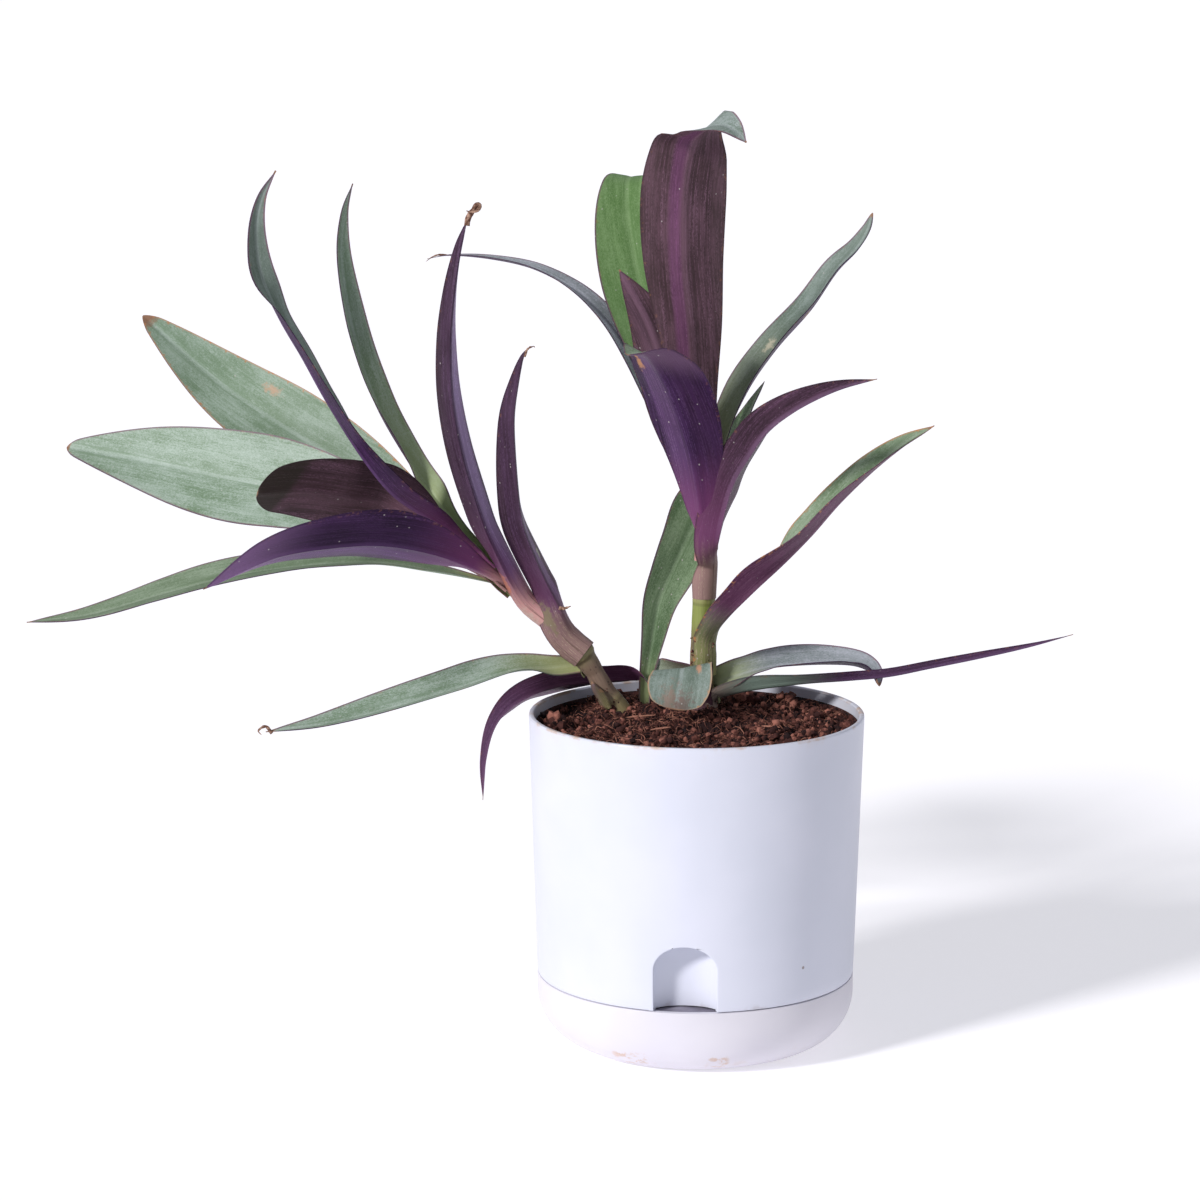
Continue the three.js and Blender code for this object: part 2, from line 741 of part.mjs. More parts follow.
// The midrib of a leaf, with the radius that its base clasps and the share of its length in the sheath.
function midrib(leaf) {
  const points = leaf.route.map(vector);
  if (!leaf.stem) {
    const curve = new THREE.CatmullRomCurve3(points, false, "catmullrom", 0.5);
    return { curve, inwards: vector(leaf.faces[0].slice(1)), radius: leaf.start, sheathShare: 0.05 };
  }
  const stem = stemCurve(leaf.stem);
  const length = stem.getLength();
  const outwards = vector(leaf.side);
  const start = leaf.sheath[0] / length;
  const end = leaf.sheath[1] / length;
  const lift = CLEARANCE + RIB_THICKNESS / 2 + 0.4 + (leaf.layer - 1) * SHEATH_STEP;
  const sheathPoints = [start, (start + end) / 2, end].map((share) => {
    const tangent = stem.getTangentAt(share);
    const away = outwards.clone().addScaledVector(tangent, -outwards.dot(tangent)).normalize();
    return stem.getPointAt(share).addScaledVector(away, stemRadius(leaf.stem, stem, share) + lift);
  });
  const curve = new THREE.CatmullRomCurve3([...sheathPoints, ...points], false, "catmullrom", 0.5);
  const sheathShare = (leaf.sheath[1] - leaf.sheath[0]) / curve.getLength();
  const radius = stemRadius(leaf.stem, stem, start) + lift;
  return { curve, inwards: outwards.clone().negate(), radius, sheathShare };
}

// The direction of the upper face, square to the midrib: towards the stem in the sheath, and then
// eased from each direction given in `faces` to the next.
function faceAt(leaf, inwards, sheathShare, along, tangent) {
  const keys = [[0, inwards], [sheathShare, inwards]];
  for (const [share, x, y, z] of leaf.faces) {
    if (share > sheathShare) {
      keys.push([share, new THREE.Vector3(x, y, z)]);
    }
  }
  let low = 0;
  while (low < keys.length - 2 && along > keys[low + 1][0]) {
    low += 1;
  }
  const square = (direction) => {
    return direction.clone().addScaledVector(tangent, -direction.dot(tangent)).normalize();
  };
  const between = ease(keys[low][0], keys[low + 1][0], along);
  return square(square(keys[low][1]).lerp(square(keys[low + 1][1]), between));
}

// Half the width along a leaf: the wrapped sheath, the widening blade and the long point.
function halfWidth(leaf, radius, sheathShare, along) {
  const closing = ease(0, sheathShare * 0.9, along);
  const wrap = THREE.MathUtils.lerp(leaf.close ?? leaf.wrap, leaf.wrap, closing);
  const sheath = leaf.stem ? radians(wrap) * radius : leaf.start / 2;
  const blade = leaf.width / 2;
  if (along < leaf.widest) {
    return THREE.MathUtils.lerp(sheath, blade, ease(sheathShare * 0.6, leaf.widest, along));
  }
  const past = (along - leaf.widest) / (1 - leaf.widest);
  const end = leaf.tip ? leaf.tip : 0;
  const taper = Math.pow(Math.max(1 - Math.pow(past, 1.9), 0), 0.95);
  return Math.max(blade * (end + (1 - end) * taper), TIP_WIDTH / 2);
}

// A leaf is a thin strip about its midrib, with its two halves sloped up from the midrib: wrapped
// round the stem at the base, and folded and curled by less along the blade.
function leafSolid(leaf, grow) {
  const { curve, inwards, radius, sheathShare } = midrib(leaf);
  const positions = [];
  const indices = [];
  const columns = leaf.columns ?? LEAF_COLUMNS;
  const across = columns + 1;
  for (let i = 0; i <= LEAF_ROWS; i += 1) {
    const along = i / LEAF_ROWS;
    const tangent = curve.getTangentAt(along);
    const normal = faceAt(leaf, inwards, sheathShare, along, tangent);
    const side = new THREE.Vector3().crossVectors(tangent, normal);
    const half = halfWidth(leaf, radius, sheathShare, along);
    const open = leaf.stem ? ease(sheathShare * 0.7, sheathShare + 0.16, along) : 1;
    const slope = radians(leaf.fold) * open;
    const wrap = leaf.stem ? half / radius : 0;
    const gain = THREE.MathUtils.lerp(wrap, radians(leaf.curl), open);
    const slip = i === 0 ? -grow : i === LEAF_ROWS ? grow : 0;
    const centre = curve.getPointAt(along).addScaledVector(tangent, slip);
    for (const face of [1, -1]) {
      for (let j = 0; j < across; j += 1) {
        const share = (2 * j) / columns - 1;
        const section = sectionPoint(share, half + grow, slope, gain);
        const thick = THREE.MathUtils.lerp(RIB_THICKNESS, EDGE_THICKNESS, Math.abs(share)) / 2 + grow;
        const out = section.out - face * thick * Math.sin(section.angle);
        const up = section.up + face * thick * Math.cos(section.angle);
        const point = centre.clone().addScaledVector(side, out).addScaledVector(normal, up);
        positions.push(point.x, point.y, point.z);
      }
    }
  }
  const row = 2 * across;
  for (let i = 0; i < LEAF_ROWS; i += 1) {
    for (let j = 0; j < columns; j += 1) {
      const a = i * row + j;
      const b = a + row;
      indices.push(a, a + 1, b + 1, a, b + 1, b);
      indices.push(a + across, b + 1 + across, a + 1 + across, a + across, b + across, b + 1 + across);
    }
    const left = i * row;
    const right = left + columns;
    indices.push(left, left + row, left + row + across, left, left + row + across, left + across);
    indices.push(right, right + row + across, right + row, right, right + across, right + row + across);
  }
  for (let j = 0; j < columns; j += 1) {
    const tip = LEAF_ROWS * row + j;
    indices.push(j, j + across, j + 1 + across, j, j + 1 + across, j + 1);
    indices.push(tip, tip + 1 + across, tip + across, tip, tip + 1, tip + 1 + across);
  }
  return solid(closedGeometry(positions, indices));
}

// A point of a leaf's cross-section, `share` running from -1 at one edge over 0 at the midrib to 1: how
// far out and up it lies and how steep the leaf is there.
function sectionPoint(share, half, slope, gain) {
  const reach = Math.abs(share);
  const parts = 8;
  let out = 0;
  let up = 0;
  for (let k = 0; k < parts; k += 1) {
    const angle = slope + gain * reach * ((k + 0.5) / parts);
    out += (Math.cos(angle) * reach * half) / parts;
    up += (Math.sin(angle) * reach * half) / parts;
  }
  const angle = reach === 0 ? 0 : slope + gain * reach;
  const hand = Math.sign(share);
  return { out: out * hand, up, angle: angle * hand };
}

function material(colour, roughness) {
  return new THREE.MeshStandardMaterial({ color: colour, roughness, metalness: 0 });
}

function meshOf(name, manifold, finish) {
  const mesh = new THREE.Mesh(toGeometry(manifold), finish);
  mesh.name = name;
  return mesh;
}

const group = new THREE.Group();
group.name = "potted_tradescantia";

const planter = planterSolid();
group.add(meshOf("planter", planter, material(COLOURS.planter, 0.4)));
group.add(meshOf("reservoir_dish", dishSolid(), material(COLOURS.dish, 0.4)));

// Stems come first, then the leaves in the order of their list; each one is cut clear of the pieces
// before it.
const rim = turned([
  [RIM_RADIUS - WALL - 0.6, RIM_HEIGHT - 12],
  [RIM_RADIUS + 0.5, RIM_HEIGHT - 12],
  [RIM_RADIUS + 0.5, RIM_HEIGHT + 0.5],
  [RIM_RADIUS - WALL - 0.6, RIM_HEIGHT + 0.5],
  [RIM_RADIUS - WALL - 0.6, RIM_HEIGHT - 12],
]);
const cutters = [rim];
for (const name of ["left", "right"]) {
  cutters.push(stemSolid(name, CLEARANCE + 0.05));
  group.add(meshOf(`stem_${name}`, stemSolid(name, 0), material(COLOURS.stem, 0.6)));
}
for (const leaf of LEAVES) {
  let blade = leafSolid(leaf, 0);
  for (const cutter of cutters) {
    if (blade.intersect(cutter).volume() > 0) {
      blade = blade.subtract(cutter);
    }
  }
  blade = mainBody(blade);
  cutters.push(leafSolid(leaf, LEAF_GAP));
  const colour = leaf.under ? COLOURS.purple : COLOURS.green;
  group.add(meshOf(leaf.name, blade, material(colour, 0.45)));
}
group.add(meshOf("soil", soilSolid(cutters.slice(1)), material(COLOURS.soil, 0.95)));

export default group;
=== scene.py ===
# %% [markdown]
# # A tradescantia in a self-watering planter
#
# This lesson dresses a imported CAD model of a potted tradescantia. The plant has two leaning shoots of
# long strap leaves, green and silvery above and purple below. It grows in coconut-fibre soil, in a white
# plastic planter that stands in its own water dish. The CAD model gives the frame, so each piece made here
# goes where the frame says. Lengths are written in millimetres and turned into Blender's metres by `MM`.

# %% Open the frame
import random
from bisect import bisect_left
from math import cos, exp, hypot, pi, radians, sin, sqrt, tau

import bmesh
import bpy
from mathutils import Matrix, Vector, noise


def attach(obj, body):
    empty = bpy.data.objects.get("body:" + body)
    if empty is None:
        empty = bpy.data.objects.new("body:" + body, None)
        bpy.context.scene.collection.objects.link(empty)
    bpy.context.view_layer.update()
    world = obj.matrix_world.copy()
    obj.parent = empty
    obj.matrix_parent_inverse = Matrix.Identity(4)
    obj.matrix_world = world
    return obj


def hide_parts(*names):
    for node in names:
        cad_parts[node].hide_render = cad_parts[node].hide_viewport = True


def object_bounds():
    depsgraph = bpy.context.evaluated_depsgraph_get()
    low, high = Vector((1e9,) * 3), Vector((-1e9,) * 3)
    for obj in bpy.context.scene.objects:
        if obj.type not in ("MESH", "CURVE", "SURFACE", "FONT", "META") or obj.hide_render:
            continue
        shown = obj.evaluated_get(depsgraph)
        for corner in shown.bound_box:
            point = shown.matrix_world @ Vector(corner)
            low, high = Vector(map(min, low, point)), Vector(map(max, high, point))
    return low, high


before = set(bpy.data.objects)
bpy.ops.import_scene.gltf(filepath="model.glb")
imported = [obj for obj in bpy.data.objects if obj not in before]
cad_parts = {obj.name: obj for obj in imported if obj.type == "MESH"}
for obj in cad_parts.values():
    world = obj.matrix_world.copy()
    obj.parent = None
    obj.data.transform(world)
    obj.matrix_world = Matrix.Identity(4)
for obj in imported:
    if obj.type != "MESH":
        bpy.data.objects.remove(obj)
cad_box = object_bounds()
MM = 0.001
print("frame nodes:", len(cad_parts), "box:", [[round(v, 4) for v in corner] for corner in cad_box])

# %% [markdown]
# ## The camera
#
# The photograph was taken from a little to the right of the planter's front and from above its rim. A
# camera placed by its bearing, distance and height can be read like a tripod's setting, so these are kept
# as named values, and a long lens keeps the planter's sides nearly parallel.

# %% Place the camera
CAMERA_BEARING = 3.6
CAMERA_DISTANCE = 1.220
CAMERA_HEIGHT = 0.378
CAMERA_TURN = 5.14
CAMERA_DIP = 10.47
CAMERA_LENS = 110.1
bearing, turn, dip = (radians(a) for a in (CAMERA_BEARING, CAMERA_TURN, CAMERA_DIP))
camera = bpy.data.objects.new("camera", bpy.data.cameras.new("camera"))
camera.location = (sin(bearing) * CAMERA_DISTANCE, -cos(bearing) * CAMERA_DISTANCE, CAMERA_HEIGHT)
aim = Vector((-sin(turn) * cos(dip), cos(turn) * cos(dip), -sin(dip)))
camera.rotation_euler = aim.to_track_quat("-Z", "Y").to_euler()
camera.data.lens = CAMERA_LENS
camera.data.sensor_width = 36
camera.data.clip_end = 100
bpy.context.collection.objects.link(camera)
bpy.context.scene.camera = camera
print("camera at", tuple(round(v, 3) for v in camera.location))

# %% [markdown]
# ## Wires and finishes
#
# A material in Blender is a graph of nodes, and sums in it quickly become hard to read. The small class
# `Wire` stands for one output of a node and knows plus, minus, times and divide, so a sum is written as a
# sum. `Finish` is one material: its method `node` adds any other node, with the settings first and the
# socket values after them. Most finishes are then made like paint: `start` mixes a ground colour, `lay`
# puts one more tone over it where a mask says so, and `seal` adds the gloss and the relief.

# %% Wires: sums between sockets
class Wire:
    """One value on its way through a finish."""

    def __init__(self, finish, socket):
        self.finish = finish
        self.socket = socket

    def sum(self, operation, first, second):
        return self.finish.node("ShaderNodeMath", {"operation": operation}, {0: first, 1: second})

    def __add__(self, other):
        return self.sum("ADD", self, other)

    def __sub__(self, other):
        return self.sum("SUBTRACT", self, other)

    def __rsub__(self, other):
        return self.sum("SUBTRACT", other, self)

    def __mul__(self, other):
        return self.sum("MULTIPLY", self, other)

    def __truediv__(self, other):
        return self.sum("DIVIDE", self, other)

    def __pow__(self, other):
        return self.sum("POWER", self, other)

    __radd__ = __add__
    __rmul__ = __mul__


# %% A finish and its node method
class Finish:
    """A material built from named steps, with its fixed numbers on the shader itself."""

    def __init__(self, name, **fixed):
        self.material = bpy.data.materials.new(name)
        self.material.use_nodes = True
        self.tree = self.material.node_tree
        self.tree.nodes.clear()
        self.shader = self.tree.nodes.new("ShaderNodeBsdfPrincipled")
        end = self.tree.nodes.new("ShaderNodeOutputMaterial")
        self.tree.links.new(self.shader.outputs[0], end.inputs["Surface"])
        for name, value in fixed.items():
            self.shader.inputs[name.replace("_", " ")].default_value = value

    def node(self, kind, settings=None, values=None, output=0):
        made = self.tree.nodes.new(kind)
        for name, setting in (settings or {}).items():
            setattr(made, name, setting)
        for name, value in (values or {}).items():
            self.join(value, made.inputs[name])
        return Wire(self, made.outputs[output])

    def join(self, value, socket):
        if isinstance(value, Wire):
            self.tree.links.new(value.socket, socket)
        else:
            socket.default_value = value

    def set(self, name, value):
        self.join(value, self.shader.inputs[name])

    def mix(self, under, over, amount):
        return self.node("ShaderNodeMix", {"data_type": "RGBA"}, {0: amount, 6: under, 7: over}, 2)

    def start(self, under, over, amount):
        """Begins the colour with one tone under another, which shows as far as the mask says."""
        self.colour = self.mix(tone(under), tone(over), amount)

    def lay(self, over, amount):
        """Lays one more tone over the colour."""
        self.colour = self.mix(self.colour, tone(over), amount)

    def seal(self, rough, height, depth, strength):
        """Gives the shader its colour, its roughness and a relief of some millimetres' depth."""
        self.set("Base Color", self.colour)
        self.set("Roughness", rough)
        values = {"Height": height, "Distance": depth * MM, "Strength": strength}
        self.set("Normal", self.node("ShaderNodeBump", None, values))
        return self


# %% Short names for the steps that come back often
def tone(steps):
    """A colour given in the 0 to 255 steps of a screen, as the linear light that a shader takes."""
    shares = [step / 255 for step in steps]
    return tuple(((s + 0.055) / 1.055) ** 2.4 if s > 0.04 else s / 12.92 for s in shares) + (1.0,)


def place(finish):
    return finish.node("ShaderNodeTexCoord", output="Object")


def read(finish, name):
    return finish.node("ShaderNodeAttribute", {"attribute_name": name}, output="Fac")


def pack(finish, x, y, z=0.0):
    return finish.node("ShaderNodeCombineXYZ", None, {"X": x, "Y": y, "Z": z})


def part_of(finish, vector, axis):
    return finish.node("ShaderNodeSeparateXYZ", None, {"Vector": vector}, axis)


def cloud(finish, vector, scale, detail=2.0, roughness=0.5):
    values = {"Vector": vector, "Scale": scale, "Detail": detail, "Roughness": roughness}
    return finish.node("ShaderNodeTexNoise", None, values, "Fac")


def rise(finish, value, low, high):
    """0 below `low`, 1 above `high`, and a soft step between them."""
    values = {"Value": value, "From Min": low, "From Max": high}
    return finish.node("ShaderNodeMapRange", {"interpolation_type": "SMOOTHSTEP"}, values)


def fall(finish, value, low, high):
    return 1 - rise(finish, value, low, high)


def beside(finish, gap, low, high=1.0):
    """1 along a line and 0 away from it, as the square of the gap to the line goes from low to high."""
    return fall(finish, gap * gap, low, high)


def specks(finish, vector, scale, size, share):
    """Small round dots, of which only the given share of the cells has one."""
    cells = {"Vector": vector, "Scale": scale, "Randomness": 1.0}
    near = finish.node("ShaderNodeTexVoronoi", None, cells, "Distance")
    pick = part_of(finish, finish.node("ShaderNodeTexVoronoi", None, cells, "Color"), 0)
    return fall(finish, near, size * 0.6, size) * rise(finish, pick, 1 - share, 1.01 - share)


# %% [markdown]
# ## The floor and the light
#
# The photograph shows a white table under soft light from the front and upper left, with pale shadows
# behind the planter. One wide sun gives that light without growing weaker across the table, and a pale
# surround fills the shadows. The floor gives off a little light of its own, as an overexposed white table
# seems to, so that its shadows stay pale.

# %% Light and floor
SKY_TONE, SKY_STRENGTH = (0.90, 0.92, 1.0, 1.0), 0.44
SUN_TONE, SUN_STRENGTH, SUN_SPREAD = (1.0, 0.985, 0.97), 2.75, 9
SUN_HEADING = Vector((0.70, 0.69, -0.51))
TABLE_REACH, TABLE_GLOW = 30.0, 0.37

scene = bpy.context.scene
scene.view_settings.view_transform = "Standard"
world = bpy.data.worlds.new("pale_studio")
world.use_nodes = True
sky = world.node_tree.nodes["Background"]
sky.inputs["Color"].default_value = SKY_TONE
sky.inputs["Strength"].default_value = SKY_STRENGTH
scene.world = world

sun = bpy.data.objects.new("key_light", bpy.data.lights.new("key_light", "SUN"))
sun.data.energy = SUN_STRENGTH
sun.data.angle = radians(SUN_SPREAD)
sun.data.color = SUN_TONE
sun.rotation_euler = SUN_HEADING.to_track_quat("-Z", "Y").to_euler()
bpy.context.collection.objects.link(sun)

floor_mesh = bpy.data.meshes.new("studio_floor")
corners = [(x * TABLE_REACH, y * TABLE_REACH, 0) for x, y in ((-1, -1), (1, -1), (1, 1), (-1, 1))]
floor_mesh.from_pydata(corners, [], [(0, 1, 2, 3)])
floor = bpy.data.objects.new("studio_floor", floor_mesh)
bpy.context.collection.objects.link(floor)
table = Finish("white_table", Roughness=0.9, Emission_Strength=TABLE_GLOW)
table.set("Base Color", tone((236, 235, 240)))
table.set("Emission Color", tone((255, 254, 255)))
floor_mesh.materials.append(table.material)
print("light and floor ready")


# %% [markdown]
# ## Making pieces
#
# Every piece is written as points and faces, and then turned into an object in one place, where it is also
# tied to the frame. Faces are shaded smooth, and edges sharper than a set angle stay crisp, which is how a
# moulded edge or a leaf's margin looks.

# %% Three small sums for shaping
def eased(low, high, value):
    share = min(max((value - low) / (high - low), 0.0), 1.0)
    return share * share * (3 - 2 * share)


def between(low, high, share):
    return low + (high - low) * share


def wander(a, b, c):
    """A number between about -1 and 1 that changes slowly from place to place."""
    return noise.noise(Vector((a, b, c)))


# %% From points and faces to a piece
def piece(name, points, faces, finishes, crisp=38, marks=None, slots=None):
    mesh = bpy.data.meshes.new(name)
    mesh.from_pydata([tuple(c * MM for c in p) for p in points], [], faces)
    for key, numbers in (marks or {}).items():
        mesh.attributes.new(key, "FLOAT", "POINT").data.foreach_set("value", numbers)
    for finish in finishes:
        mesh.materials.append(finish.material)
    if slots:
        mesh.polygons.foreach_set("material_index", slots)
    made = bpy.data.objects.new(name, mesh)
    bpy.context.collection.objects.link(made)
    smooth(made, crisp)
    return made


def smooth(made, crisp):
    made.data.polygons.foreach_set("use_smooth", [True] * len(made.data.polygons))
    made.data.set_sharp_from_angle(angle=radians(crisp))
    made.data.update()


def settle(made, slot, *nodes):
    """Ties a piece to the frame, in the place of its CAD nodes. The slot is not used."""
    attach(made, "root")
    if nodes:
        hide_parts(*nodes)


def carve(target, tool, operation):
    """Joins a tool to a piece, cuts it out or keeps what both share, and clears the tool away."""
    cut = target.modifiers.new("cut", "BOOLEAN")
    cut.operation = operation
    cut.solver = "EXACT"
    cut.object = tool
    shaped = bpy.data.meshes.new_from_object(target.evaluated_get(bpy.context.evaluated_depsgraph_get()))
    target.modifiers.clear()
    target.data = shaped
    bpy.data.objects.remove(tool)


# %% The faces of a tube's grid, with a cap at each end
def tube_faces(rows, columns):
    faces = []
    for i in range(rows):
        for j in range(columns):
            a, b = i * columns + j, i * columns + (j + 1) % columns
            faces.append((a, b, b + columns, a + columns))
    return faces + [tuple(range(columns))[::-1], tuple(range(rows * columns, (rows + 1) * columns))]


# %% A turned form about the planter's upright axis
ROUND_STEPS = 180


def turned(name, profile, finishes=()):
    points, faces, rings = [], [], []
    for radius, height in profile:
        count = 1 if radius == 0 else ROUND_STEPS
        rings.append(range(len(points), len(points) + count))
        for i in range(count):
            angle = tau * i / ROUND_STEPS
            points.append((radius * cos(angle), radius * sin(angle), height))
    for low, high in zip(rings, rings[1:]):
        for i in range(ROUND_STEPS):
            after = (i + 1) % ROUND_STEPS
            corner = [low[i % len(low)], low[after % len(low)], high[after % len(high)], high[i % len(high)]]
            faces.append(tuple(dict.fromkeys(corner)))
    return piece(name, points, faces, finishes)


# %% [markdown]
# ## The plastics
#
# The planter is moulded in a cool white, satin plastic, and the dish below it in a slightly warmer white.
# Moulded plastic is never quite even: its gloss drifts, it carries a faint grain, and this one has tan
# dust on its rim, soil stains inside and a few scuffs low on the dish. Each of these is a mask that is
# laid over the plain colour.

# %% White plastic for the planter
RIM_RADIUS, RIM_HEIGHT = 57.0, 114.0
SEAM_RADIUS, SEAM_HEIGHT = 54.2, 24.0
WALL, CLEARANCE = 1.8, 0.3


def wall_radius(height):
    share = (height - SEAM_HEIGHT) / (RIM_HEIGHT - SEAM_HEIGHT)
    return SEAM_RADIUS + (RIM_RADIUS - SEAM_RADIUS) * share


def moulded_grain(f, here):
    """The faint grain and slow waves of moulded plastic."""
    return cloud(f, here, 2600, 2) * 0.25 + cloud(f, here, 60, 2)


def planter_plastic():
    f = Finish("planter_plastic", Specular_IOR_Level=0.45)
    here = place(f)
    height = part_of(f, here, 2) / MM
    across = part_of(f, here, 0) / MM
    depth = part_of(f, here, 1) / MM
    radius = (across * across + depth * depth) ** 0.5
    drift = cloud(f, here, 28, 3)
    f.start((206, 209, 222), (212, 214, 227), rise(f, drift, 0.3, 0.7))
    patch = rise(f, cloud(f, here, 95, 4, 0.65), 0.46, 0.66)
    lip = rise(f, height, RIM_HEIGHT - 1.1, RIM_HEIGHT - 0.35)
    f.lay((186, 152, 124), lip * patch * 0.75)
    shoulder = rise(f, height, RIM_HEIGHT - 6, RIM_HEIGHT - 1) * patch * 0.16
    f.lay((205, 188, 172), shoulder)
    inside = fall(f, radius, RIM_RADIUS - WALL - 0.9, RIM_RADIUS - WALL - 0.2)
    stain = inside * rise(f, height, 60, 100) * (0.35 + patch * 0.6)
    f.lay((142, 108, 84), stain)
    seam = fall(f, height, SEAM_HEIGHT + 0.4, SEAM_HEIGHT + 2.5)
    grime = seam * rise(f, cloud(f, here, 140, 3), 0.60, 0.72)
    f.lay((140, 126, 118), grime * 0.3)
    dots = specks(f, here, 130, 0.09, 0.05)
    f.lay((120, 96, 82), dots * 0.7)
    rough = 0.36 + drift * 0.12 + stain * 0.3 + lip * patch * 0.2
    return f.seal(rough, moulded_grain(f, here), 0.06, 0.5)


# %% White plastic for the dish
def dish_plastic():
    f = Finish("dish_plastic", Specular_IOR_Level=0.45)
    here = place(f)
    height = part_of(f, here, 2) / MM
    across = part_of(f, here, 0) / MM
    drift = cloud(f, here, 34, 3)
    f.start((213, 210, 219), (218, 215, 223), rise(f, drift, 0.3, 0.7))
    worn = rise(f, cloud(f, here, 260, 4, 0.7), 0.50, 0.62)
    low = rise(f, height, 1.0, 3.0) * fall(f, height, 6.5, 9.0)
    for middle, reach in ((-19.0, 7.0), (10.0, 5.0)):
        near = beside(f, (across - middle) * (1 / reach), 0.3)
        f.lay((196, 160, 132), low * near * worn * 0.7)
    dust = rise(f, cloud(f, here, 120, 4, 0.6), 0.56, 0.72) * fall(f, height, 2, 10)
    f.lay((208, 190, 176), dust * 0.3)
    return f.seal(0.34 + drift * 0.12 + dust * 0.2, moulded_grain(f, here), 0.06, 0.5)


# %% [markdown]
# ## The planter and its dish
#
# The planter is a turned shell whose wall widens a little towards the rim, with a foot that hangs down
# into the water. An arch on the front opens into a hollow niche, where water is poured into the dish. A
# lathe profile gives the shell, and the niche is an arched prism kept inside an upright oval column, so
# its back is round. Both are joined and cut with Boolean modifiers, which are applied at once.

# %% The niche behind the filling arch
ARCH_WIDTH, ARCH_TOP = 21.0, 46.5
NICHE_DEPTH, NICHE_WALL = 8.0, 1.6


def prism(name, outline, low, high, turn):
    """An outline of (a, b) pairs carried between two levels and set upright by `turn`."""
    count = len(outline)
    points = [turn(a, b, level) for level in (low, high) for a, b in outline]
    faces = [tuple(range(count))[::-1], tuple(range(count, 2 * count))]
    for i in range(count):
        after = (i + 1) % count
        faces.append((i, after, count + after, count + i))
    made = piece(name, points, faces, ())
    shape = bmesh.new()
    shape.from_mesh(made.data)
    bmesh.ops.recalc_face_normals(shape, faces=shape.faces)
    shape.to_mesh(made.data)
    shape.free()
    return made


def niche_space(grow, bottom):
    half = ARCH_WIDTH / 2 + grow
    spring = ARCH_TOP - ARCH_WIDTH / 2 + 2
    rise_to = ARCH_TOP + grow - spring
    bends = [pi * i / 48 for i in range(49)]
    arch = [(-half, bottom), (half, bottom)]
    arch += [(half * cos(b), spring + rise_to * sin(b)) for b in bends]
    space = prism("niche_arch", arch, -75, -30, lambda a, b, level: (a, level, b))
    sides = [tau * i / 96 for i in range(96)]
    oval = [((half + 1.2) * cos(s), (NICHE_DEPTH + grow) * sin(s)) for s in sides]
    front = -SEAM_RADIUS + 0.4
    column = prism("niche_column", oval, bottom - 5, 80, lambda a, b, level: (a, front + b, level))
    carve(space, column, "INTERSECT")
    return space


# %% The planter's shell
base = SEAM_HEIGHT + CLEARANCE / 2
FOOT_RADIUS, FOOT_BOTTOM, FOOT_WALL = 16.0, 2.1, 1.6
SKIRT_DEPTH, SKIRT_WALL = 5.8, 1.5
foot_inside = FOOT_RADIUS - FOOT_WALL
skirt = SEAM_RADIUS - WALL - CLEARANCE
wall_rows = [(wall_radius(height), height) for height in range(28, 52, 3)]
shell_profile = [
    (0, FOOT_BOTTOM), (FOOT_RADIUS, FOOT_BOTTOM), (FOOT_RADIUS + 0.8, base),
    (skirt - SKIRT_WALL, base), (skirt - SKIRT_WALL, base - SKIRT_DEPTH), (skirt, base - SKIRT_DEPTH),
    (skirt, base), (SEAM_RADIUS - 0.5, base), (SEAM_RADIUS - 0.15, base + 0.12), (SEAM_RADIUS, base + 0.45),
    *wall_rows, (RIM_RADIUS - 0.04, RIM_HEIGHT - 0.9), (RIM_RADIUS - 0.12, RIM_HEIGHT - 0.4),
    (RIM_RADIUS - 0.35, RIM_HEIGHT - 0.1), (RIM_RADIUS - 0.7, RIM_HEIGHT),
    (RIM_RADIUS - WALL + 0.7, RIM_HEIGHT), (RIM_RADIUS - WALL + 0.3, RIM_HEIGHT - 0.12),
    (RIM_RADIUS - WALL, RIM_HEIGHT - 0.5), (SEAM_RADIUS - WALL, base + 2.6),
    (SEAM_RADIUS - WALL - 0.9, base + WALL), (foot_inside + 0.8, base + WALL),
    (foot_inside, FOOT_BOTTOM + WALL), (0, FOOT_BOTTOM + WALL),
]
white = planter_plastic()
planter = turned("planter_shell", shell_profile, [white])
pocket = niche_space(NICHE_WALL, base)
inside_of = [(0, base), (SEAM_RADIUS - 0.2, base), (RIM_RADIUS - 0.2, RIM_HEIGHT), (0, RIM_HEIGHT)]
carve(pocket, turned("planter_form", inside_of), "INTERSECT")
carve(planter, pocket, "UNION")
carve(planter, niche_space(0, 10), "DIFFERENCE")
SLOT_WIDTH, SLOT_TOP = 3.0, 18.0
for quarter in (0.25, 0.75):
    lean = pi * quarter
    half = SLOT_WIDTH / 2
    strip = [(-30, -half), (30, -half), (30, half), (-30, half)]
    turned_strip = [(a * cos(lean) - b * sin(lean), a * sin(lean) + b * cos(lean)) for a, b in strip]
    bottom = FOOT_BOTTOM + WALL + 0.6
    slot = prism("foot_slot", turned_strip, bottom, SLOT_TOP, lambda a, b, level: (a, b, level))
    carve(planter, slot, "DIFFERENCE")
print("planter faces:", len(planter.data.polygons))

# %% [markdown]
# Water runs from the niche into the dish through the gap at its foot. Seen from outside, the gap is a
# narrow grey crescent, the shade inside the opening. A dull grey plate just under the seam fills the gap
# and gives that grey as painted shade.

# %% Painted shade in the gap at the niche's foot
def gap_shade_finish():
    f = Finish("shaded_gap", Specular_IOR_Level=0.1)
    here = place(f)
    grain = cloud(f, here, 90, 3, 0.5)
    f.start((112, 108, 120), (148, 144, 158), rise(f, grain, 0.35, 0.65))
    return f.seal(0.8 + grain * 0.1, grain, 0.1, 0.4)


